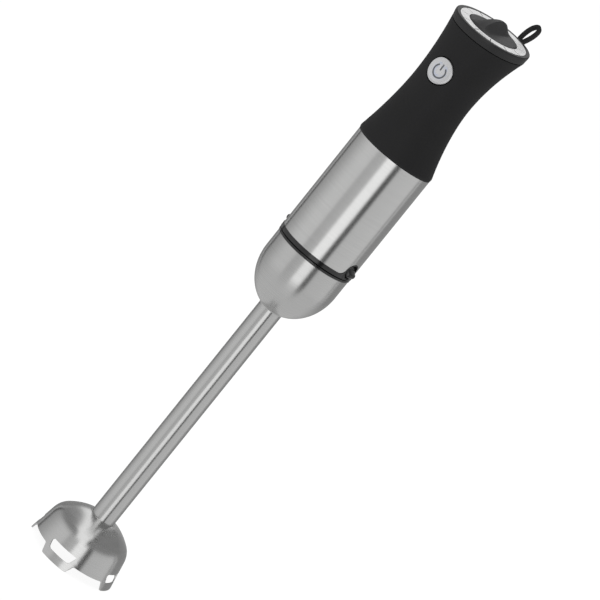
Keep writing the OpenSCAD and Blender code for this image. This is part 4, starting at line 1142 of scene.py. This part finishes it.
class STICK_OT_bell(bpy.types.Operator):
    """Steel bell with four windowed feet and the weld round the tube"""
    bl_idname = "stick.bell"
    bl_label = "Bell"
    bl_options = {"REGISTER", "UNDO"}

    def execute(self, context):
        """Above the windows the bell is a turned profile: a bulged cone, a rounded shoulder
        and a straight flared wall. Below, each foot is an outline of angles and heights with
        its window cut out, laid on the same wall."""
        b, s = context.scene.stick.bell, context.scene.stick.shaft
        rim_z = b.foot_drop
        flare = b.shoulder_in / b.wall_height
        rim_r = FOOT_R - flare * rim_z
        shoulder = np.array([rim_r - b.shoulder_in, rim_z + b.wall_height])

        def wall_r(z):
            return rim_r + flare * (rim_z - z)

        t = np.linspace(0.03, 1, 40)[:, None]
        neck = np.array([TUBE_R, Z_NECK])
        cone = neck + (shoulder - neck) * t + (0, 1) * (4 * b.cone_rise * t * (1 - t))
        split = rim_z + 8.2 * MM
        start = cone[t[:, 0] < 0.86]
        stop = np.array([wall_r(rim_z + 0.72 * b.wall_height), rim_z + 0.72 * b.wall_height])
        u = np.linspace(0, 1, 18)[1:, None]
        bend = ((1 - u) ** 2 * start[-1] + 2 * u * (1 - u) * shoulder + u ** 2 * stop)
        bead = rounded([(TUBE_R - 0.05 * MM, Z_NECK - 0.02 * MM),
                        (TUBE_R + 0.62 * s.weld, Z_NECK - 0.10 * MM),
                        (TUBE_R + 1.15 * s.weld, Z_NECK - 0.42 * MM), start[1]],
                       np.array([0, 0.5, 0.6, 0]) * MM)
        line = spaced(np.vstack([bead, start[2:], bend, [(wall_r(split), split)]]), 1.0 * MM)
        line = line[::-1]

        half = math.radians(32)
        sill = rim_z - b.window_low
        head = sill + b.window_height

        def spot(angle, z):
            return np.array([angle * FOOT_R, z])

        corners = [spot(b.foot_end, s.wall * flare), spot(b.foot_top, rim_z)]
        marks = [c * (-1, 1) for c in corners[::-1]] + corners
        lower = rounded([spot(-half, rim_z), *marks, spot(half, rim_z)],
                        np.array([0, 1.5, 1.3, 1.3, 1.5, 0]) * MM, steps=8)
        sides = [[spot(half, rim_z), spot(half, split)], [spot(half, split), spot(-half, split)],
                 [spot(-half, split), spot(-half, rim_z)], *cut(lower, marks)]
        low, high = spot(b.window_end, sill), spot(b.window_top, head)
        begin, third = low + (high - low) * 0.62, low + (high - low) * 0.36
        loop = [begin, high, high * (-1, 1), low * (-1, 1), low, begin]
        window = rounded(loop, np.array([0, 1.5, 1.5, 2.7, 2.7, 0]) * MM, steps=8)
        holes = cut(window, [high, high * (-1, 1), begin * (-1, 1), third * (-1, 1),
                             low * (-1, 1), low, third])
        counts = (14, 56, 14, 6, 14, 40, 14, 6)
        fill = between(loop_of(sides, counts), loop_of(holes, counts), 9) / (FOOT_R, 1)
        gap = np.linspace(half, TAU / 4 - half, 29)
        side = np.linspace(rim_z, split, 15)[:, None]
        first = -TAU / 4 + b.foot_turn
        patches, columns = [], []
        for k in range(4):
            turn = first + k * TAU / 4
            z = fill[..., 1]
            patches += [(on_wall(fill[..., 0] + turn, z, wall_r(z)), RING),
                        (on_wall(gap + turn, side, wall_r(side)), OPEN)]
            columns += [np.linspace(-half, half, 57)[:-1] + turn, gap[:-1] + turn]
        columns = np.concatenate(columns)
        patches.append((on_wall(columns, line[:, 1, None], line[:, 0, None]), RING))
        piece("blade_guard_bell", patches, "blending_shaft", ["blade_guard"], "shaft_steel",
              wall=s.wall, edge=0.12 * MM)
        return {"FINISHED"}


class STICK_OT_blade(bpy.types.Operator):
    """Two-winged blade with ground edges, one tip bent up"""
    bl_idname = "stick.blade"
    bl_label = "Blade"
    bl_options = {"REGISTER", "UNDO"}

    def execute(self, context):
        """Span runs along X and chord along Y. The thickness falls to a thin edge over the
        outer third of the chord, and each leading edge sweeps back towards its tip."""
        b = context.scene.stick.bell
        low, high = LOW["blade"], HIGH["blade"]
        base = LOW["blade_boss"].z - 1.2 * MM
        thick = 1.2 * MM
        reach = max(high.x, -low.x)
        u = np.linspace(-1, 1, 97)[:, None]
        c = np.linspace(-1, 1, 33)[None, :]
        x = u * reach
        width = b.blade_width / 2 * (1 - 0.22 * smooth((np.abs(u) - 0.45) / 0.55))
        sweep = 0.9 * MM * np.sign(u) * smooth((np.abs(u) - 0.5) / 0.5)
        y = c * width - sweep
        hub = smooth((0.34 - np.abs(u)) / 0.08)
        y = y * (1 + 0.33 * hub)
        edge = smooth((1 - np.abs(c)) / 0.34) * (1 - smooth((np.abs(u) - 0.97) / 0.03) * 0.8)
        t = thick * (0.16 + 0.84 * edge)
        over = np.clip(np.abs(x) - (reach - b.blade_tip), 0, None)
        lift = np.where(x > 0, over * math.tan(b.blade_bend), 0) * 0.95
        mid = base + thick / 2 + lift
        x = np.where(x > 0, x - over * (1 - math.cos(b.blade_bend)), x) + 0 * c
        upper = np.stack([x, y, mid + t / 2], axis=-1)
        lower = np.stack([x, y, mid - t / 2], axis=-1)
        ring = np.concatenate([upper, lower[:, ::-1]], axis=1)
        ends = [ring[:1] * 0 + ring[:1].mean(1, keepdims=True),
                ring[-1:] * 0 + ring[-1:].mean(1, keepdims=True)]
        skin = np.concatenate([ends[0], ring, ends[1]])
        piece("blade_wings", [(skin, RING)], "blade_drive", ["blade"], "blade_steel", sharp=30)
        boss_r = HIGH["blade_boss"].x
        z0, z1 = LOW["blade_boss"].z, HIGH["blade_boss"].z
        bore = HIGH["drive_shaft"].x
        line = rounded([(bore, z0), (boss_r, z0), (boss_r, z0 + 5 * MM),
                        (boss_r - 1.2 * MM, z0 + 7 * MM), (boss_r - 1.2 * MM, z1), (bore, z1)],
                       0.5 * MM, closed=True)
        piece("blade_boss_cone", [(lathe(spaced(line, 1 * MM), 96), LOOPED)], "blade_drive",
              ["blade_boss"], "inner_plastic")
        return {"FINISHED"}


class STICK_OT_back(bpy.types.Operator):
    """Cord sleeve and hanging loop behind the cap"""
    bl_idname = "stick.back"
    bl_label = "Cord sleeve and loop"
    bl_options = {"REGISTER", "UNDO"}

    def execute(self, context):
        """The sleeve is a ribbed closed profile turned about its own axis. The loop is a
        rounded strap carried round a drawn-out oval: x = w sin t, z = c - L cos t, with w
        narrower at the foot, set on a tapered stem."""
        b = context.scene.stick.back
        turn = -b.turn
        gland_z = (LOW["cord_gland"].z + HIGH["cord_gland"].z) / 2
        outer = b.bore + b.sleeve
        y1 = HIGH["cord_gland"].y / math.cos(b.turn) - outer * math.tan(b.turn)
        y0 = 15.5 * MM
        run = np.linspace(0, 1, 120)
        y = y0 + (y1 - y0) * run
        ribs = 0.32 * MM * smooth(np.cos(TAU * (y - y1) / (2.2 * MM)) * 2) * (y > CAP_R + 0.3 * MM)
        skin = np.stack([outer - 0.34 * MM + ribs, y], axis=1)
        line = np.vstack([skin, rounded([(outer - 0.3 * MM, y1), (b.bore, y1), (b.bore, y0)],
                                        np.array([0, 0.4, 0]) * MM)[1:]])
        sleeve = along_y(lathe(spaced(line, 1.2 * MM), 96), 0, gland_z)
        piece("cord_sleeve", [(turned(sleeve, turn), LOOPED)], "motor_unit", ["cord_gland"],
              "loop_rubber")

        mid_y = CAP_R + b.loop_gap + b.strap_depth / 2
        pivot = Z_TOP + CAP_R * math.sin(SLANT) - 2.8 * MM
        half_w = (b.loop_width - b.strap_width) / 2
        length = b.loop_length + b.strap_width
        t = np.linspace(0, TAU, 96, endpoint=False)
        wide = half_w * (0.80 - 0.20 * np.cos(t))
        path = np.stack([wide * np.sin(t), length / 2 * (1 - np.cos(t))], axis=1)
        path[:, 1] -= 0.4 * MM
        ahead = (np.roll(path, -1, 0) - np.roll(path, 1, 0))
        ahead /= np.linalg.norm(ahead, axis=1)[:, None]
        out = np.stack([ahead[:, 1], -ahead[:, 0]], axis=1)
        w, d = b.strap_width / 2, b.strap_depth / 2
        section = rounded([(-w, -d), (w, -d), (w, d), (-w, d)], 0.55 * MM, closed=True, steps=5)
        flat = path[None] + out[None] * section[:, None, 0, None]
        deep = np.broadcast_to(section[:, None, 1], flat.shape[:2])
        c, s = math.cos(b.lean), math.sin(b.lean)
        up = flat[..., 1]
        oval = np.stack([flat[..., 0], mid_y + deep * c + up * s, pivot + up * c - deep * s], -1)
        rows = np.linspace(0, 1, 24)[:, None]
        z = gland_z + outer * 0.55 + rows * (pivot + 0.6 * MM - gland_z - outer * 0.55)
        wide = b.loop_width / 2 * (1 - 0.52 * smooth(rows * 1.15))
        a, square = np.linspace(0, TAU, 48, endpoint=False), 0.45
        super_x = np.sign(np.cos(a)) * np.abs(np.cos(a)) ** square
        super_y = np.sign(np.sin(a)) * np.abs(np.sin(a)) ** square
        stem = np.stack([super_x * wide, mid_y + super_y * d + 0 * wide, z + 0 * a], axis=-1)
        caps = [stem[:1] * 0 + stem[:1].mean(1, keepdims=True),
                stem[-1:] * 0 + stem[-1:].mean(1, keepdims=True)]
        stem = np.concatenate([caps[0], stem, caps[1]])
        piece("hanging_loop_strap", [(turned(oval, turn), LOOPED), (turned(stem, turn), RING)],
              "motor_unit", ["hanging_loop"], "loop_rubber")
        return {"FINISHED"}


class STICK_OT_inner_finishes(bpy.types.Operator):
    """Finishes for the pieces that are carried over from the frame as they are"""
    bl_idname = "stick.inner_finishes"
    bl_label = "Inner finishes"
    bl_options = {"REGISTER", "UNDO"}

    def execute(self, context):
        for node in frame["nodes"].values():
            if node.hide_render:
                continue
            for place in node.material_slots:
                slot = place.material.name.removesuffix("_plain").split(".")[0]
                place.material = finish(slot)
        return {"FINISHED"}


# Bearing from the camera in degrees, to the right, and brightness of the tent's wall
PANELS = [(-180, 0.30), (-150, 0.24), (-143, 0.50), (-140, 0.50), (-136, 0.06), (-131, 0.06),
          (-126, 0.40), (-60, 0.70), (-42, 0.70), (-34, 0.50), (-10, 0.55), (-5, 1.20),
          (18, 1.20), (24, 0.05), (33, 0.05), (38, 0.62), (104, 0.66), (109, 0.28),
          (114, 0.62), (120, 0.30), (160, 0.30), (180, 0.42)]

# Name, bearing in degrees, height, distance, width, height of the box, share of the power
BOXES = [
    ("key", -48, 1.5, 1.9, 1.4, 1.2, 1.0),
    ("fill", 70, 0.9, 2.2, 1.2, 1.6, 0.35),
    ("overhead", 170, 2.2, 0.6, 1.2, 1.2, 0.5),
]


class STICK_OT_stage(bpy.types.Operator):
    """Pale floor, soft surround, softboxes and the camera"""
    bl_idname = "stick.stage"
    bl_label = "Stage"
    bl_options = {"REGISTER", "UNDO"}

    def execute(self, context):
        st = context.scene.stick.stage
        self.floor(st)
        self.surround(context.scene, st)
        self.softboxes(st)
        self.camera(context.scene, st)
        return {"FINISHED"}

    def floor(self, st):
        """A level square under the feet. Mirror-like steel sees the surround instead."""
        mesh = bpy.data.meshes.new("floor")
        w = st.floor
        mesh.from_pydata([(-w, -w, 0), (w, -w, 0), (w, w, 0), (-w, w, 0)], [], [(0, 1, 2, 3)])
        made = bpy.data.objects.new("floor", mesh)
        bpy.context.scene.collection.objects.link(made)
        f = Finish("floor_paper")
        grain = f.noise(300, 2.0)
        tint = f.mix(grain, (0.13, 0.13, 0.13), (0.15, 0.15, 0.15))
        mesh.materials.append(f.surface(tint, 0.9, Emission_Color=(1, 1, 1, 1),
                                        Emission_Strength=0.92, Specular_IOR_Level=0.0))
        made.visible_glossy = False

    def surround(self, scene, st):
        """A light tent: upright panels round the object with darker gaps between them, an
        overhead panel and an even underside. The camera itself sees plain white."""
        world = bpy.data.worlds.new("tent")
        scene.world = world
        world.use_nodes = True
        n = Nodes(world.node_tree)
        x, y, z = n.parts(n.add("TexCoord", output="Generated"))
        c, s = math.cos(st.azimuth), math.sin(st.azimuth)
        right, near = x * c + y * s, x * s - y * c
        bearing = right.math("ARCTAN2", near) / TAU + 0.5
        stops = [(at / 360 + 0.5, (v, v, v)) for at, v in PANELS]
        wall = n.add("ValToRGB", {"stops": stops}, {0: bearing})
        dim = n.add("ValToRGB", {"stops": [(at, (min(v[0], 0.56),) * 3) for at, v in stops]},
                    {0: bearing})
        wall = n.mix((-1 * z).rise(0.30, 0.50), wall, dim)
        panel = right.rise(-0.42, -0.30) * (1 - right.rise(0.13, 0.19))
        gap = right.near(0.21, 0.03, 0.04)
        roof = panel * 0.85 + 0.26 - gap * 0.22
        roof = n.add("CombineColor", {}, {0: roof, 1: roof, 2: roof})
        tent = n.mix(z.rise(0.30, 0.52), wall, roof)
        under = (-1 * z).rise(0.25, 0.75)
        tent = n.mix(under, tent, (0.60, 0.60, 0.60))
        soft = 0.22 + (-1 * right).rise(-0.6, 0.9) * 0.42 + z.rise(0.2, 0.9) * 0.5
        soft = n.add("CombineColor", {}, {0: soft, 1: soft, 2: soft})
        tent = n.mix(n.add("LightPath", output="Is Diffuse Ray"), tent, soft)
        seen = n.add("LightPath", output="Is Camera Ray")
        tent = n.mix(seen, tent, (1.0, 1.0, 1.0))
        light = n.add("Background", {}, {"Color": tent, "Strength": st.surround})
        n.add("OutputWorld", {}, {"Surface": light})

    def softboxes(self, st):
        """Large soft lights placed by bearing from the camera, height and distance."""
        for name, bearing, height, out, width, tall, power in BOXES:
            light = bpy.data.lights.new(name, "AREA")
            light.shape, light.size, light.size_y = "RECTANGLE", width, tall
            light.energy = power * st.key
            made = bpy.data.objects.new(name, light)
            bpy.context.scene.collection.objects.link(made)
            a = st.azimuth + math.radians(bearing)
            spot = Vector((math.sin(a) * out, -math.cos(a) * out, height))
            aim = Vector((0, 0, 0.3)) - spot
            made.matrix_world = Matrix.Translation(spot) @ aim.to_track_quat(
                "-Z", "Y").to_matrix().to_4x4()
            made.visible_glossy = False

    def camera(self, scene, st):
        """Looks at the axis from its bearing, steps aside, and rolls."""
        lens = bpy.data.cameras.new("camera")
        lens.lens, lens.sensor_width, lens.clip_end = st.lens, 36, 100
        made = bpy.data.objects.new("camera", lens)
        scene.collection.objects.link(made)
        scene.camera = made
        a, e = st.azimuth, st.elevation
        back = Vector((math.sin(a) * math.cos(e), -math.cos(a) * math.cos(e), math.sin(e)))
        facing = (-back).to_track_quat("-Z", "Y").to_matrix().to_4x4()
        side = facing.to_3x3() @ Vector((1, 0, 0))
        spot = Vector((0, 0, st.aim)) + back * st.distance + side * st.aside
        made.matrix_world = (Matrix.Translation(spot) @ facing
                             @ Matrix.Rotation(st.roll, 4, "Z"))
        scene.view_settings.view_transform = "Standard"


PARTS = (
    STICK_OT_grip_cover, STICK_OT_top_cap, STICK_OT_scale_ring, STICK_OT_speed_dial,
    STICK_OT_power_button, STICK_OT_motor_housing, STICK_OT_coupling_collar,
    STICK_OT_release_buttons, STICK_OT_attachment_ring, STICK_OT_shaft, STICK_OT_bell,
    STICK_OT_blade, STICK_OT_back, STICK_OT_inner_finishes, STICK_OT_stage,
)


class STICK_PT_parts(bpy.types.Panel):
    """Lists the parts and their sizes"""
    bl_idname = "STICK_PT_parts"
    bl_label = "Immersion blender"
    bl_space_type = "VIEW_3D"
    bl_region_type = "UI"
    bl_category = "Stick"

    def draw(self, context):
        for part in PARTS:
            self.layout.operator(part.bl_idname)
        for name, group in GROUPS.items():
            box = self.layout.box()
            box.label(text=name.capitalize())
            for prop in group.__annotations__:
                box.prop(getattr(context.scene.stick, name), prop)


CLASSES = (*GROUPS.values(), STICK_PG_settings, *PARTS, STICK_PT_parts)


def register():
    for made in CLASSES:
        bpy.utils.register_class(made)
    bpy.types.Scene.stick = PointerProperty(type=STICK_PG_settings)


def unregister():
    del bpy.types.Scene.stick
    for made in reversed(CLASSES):
        bpy.utils.unregister_class(made)


def main():
    register()
    for part in PARTS:
        getattr(bpy.ops.stick, part.bl_idname.split(".")[1])()


if __name__ == "__main__":
    main()
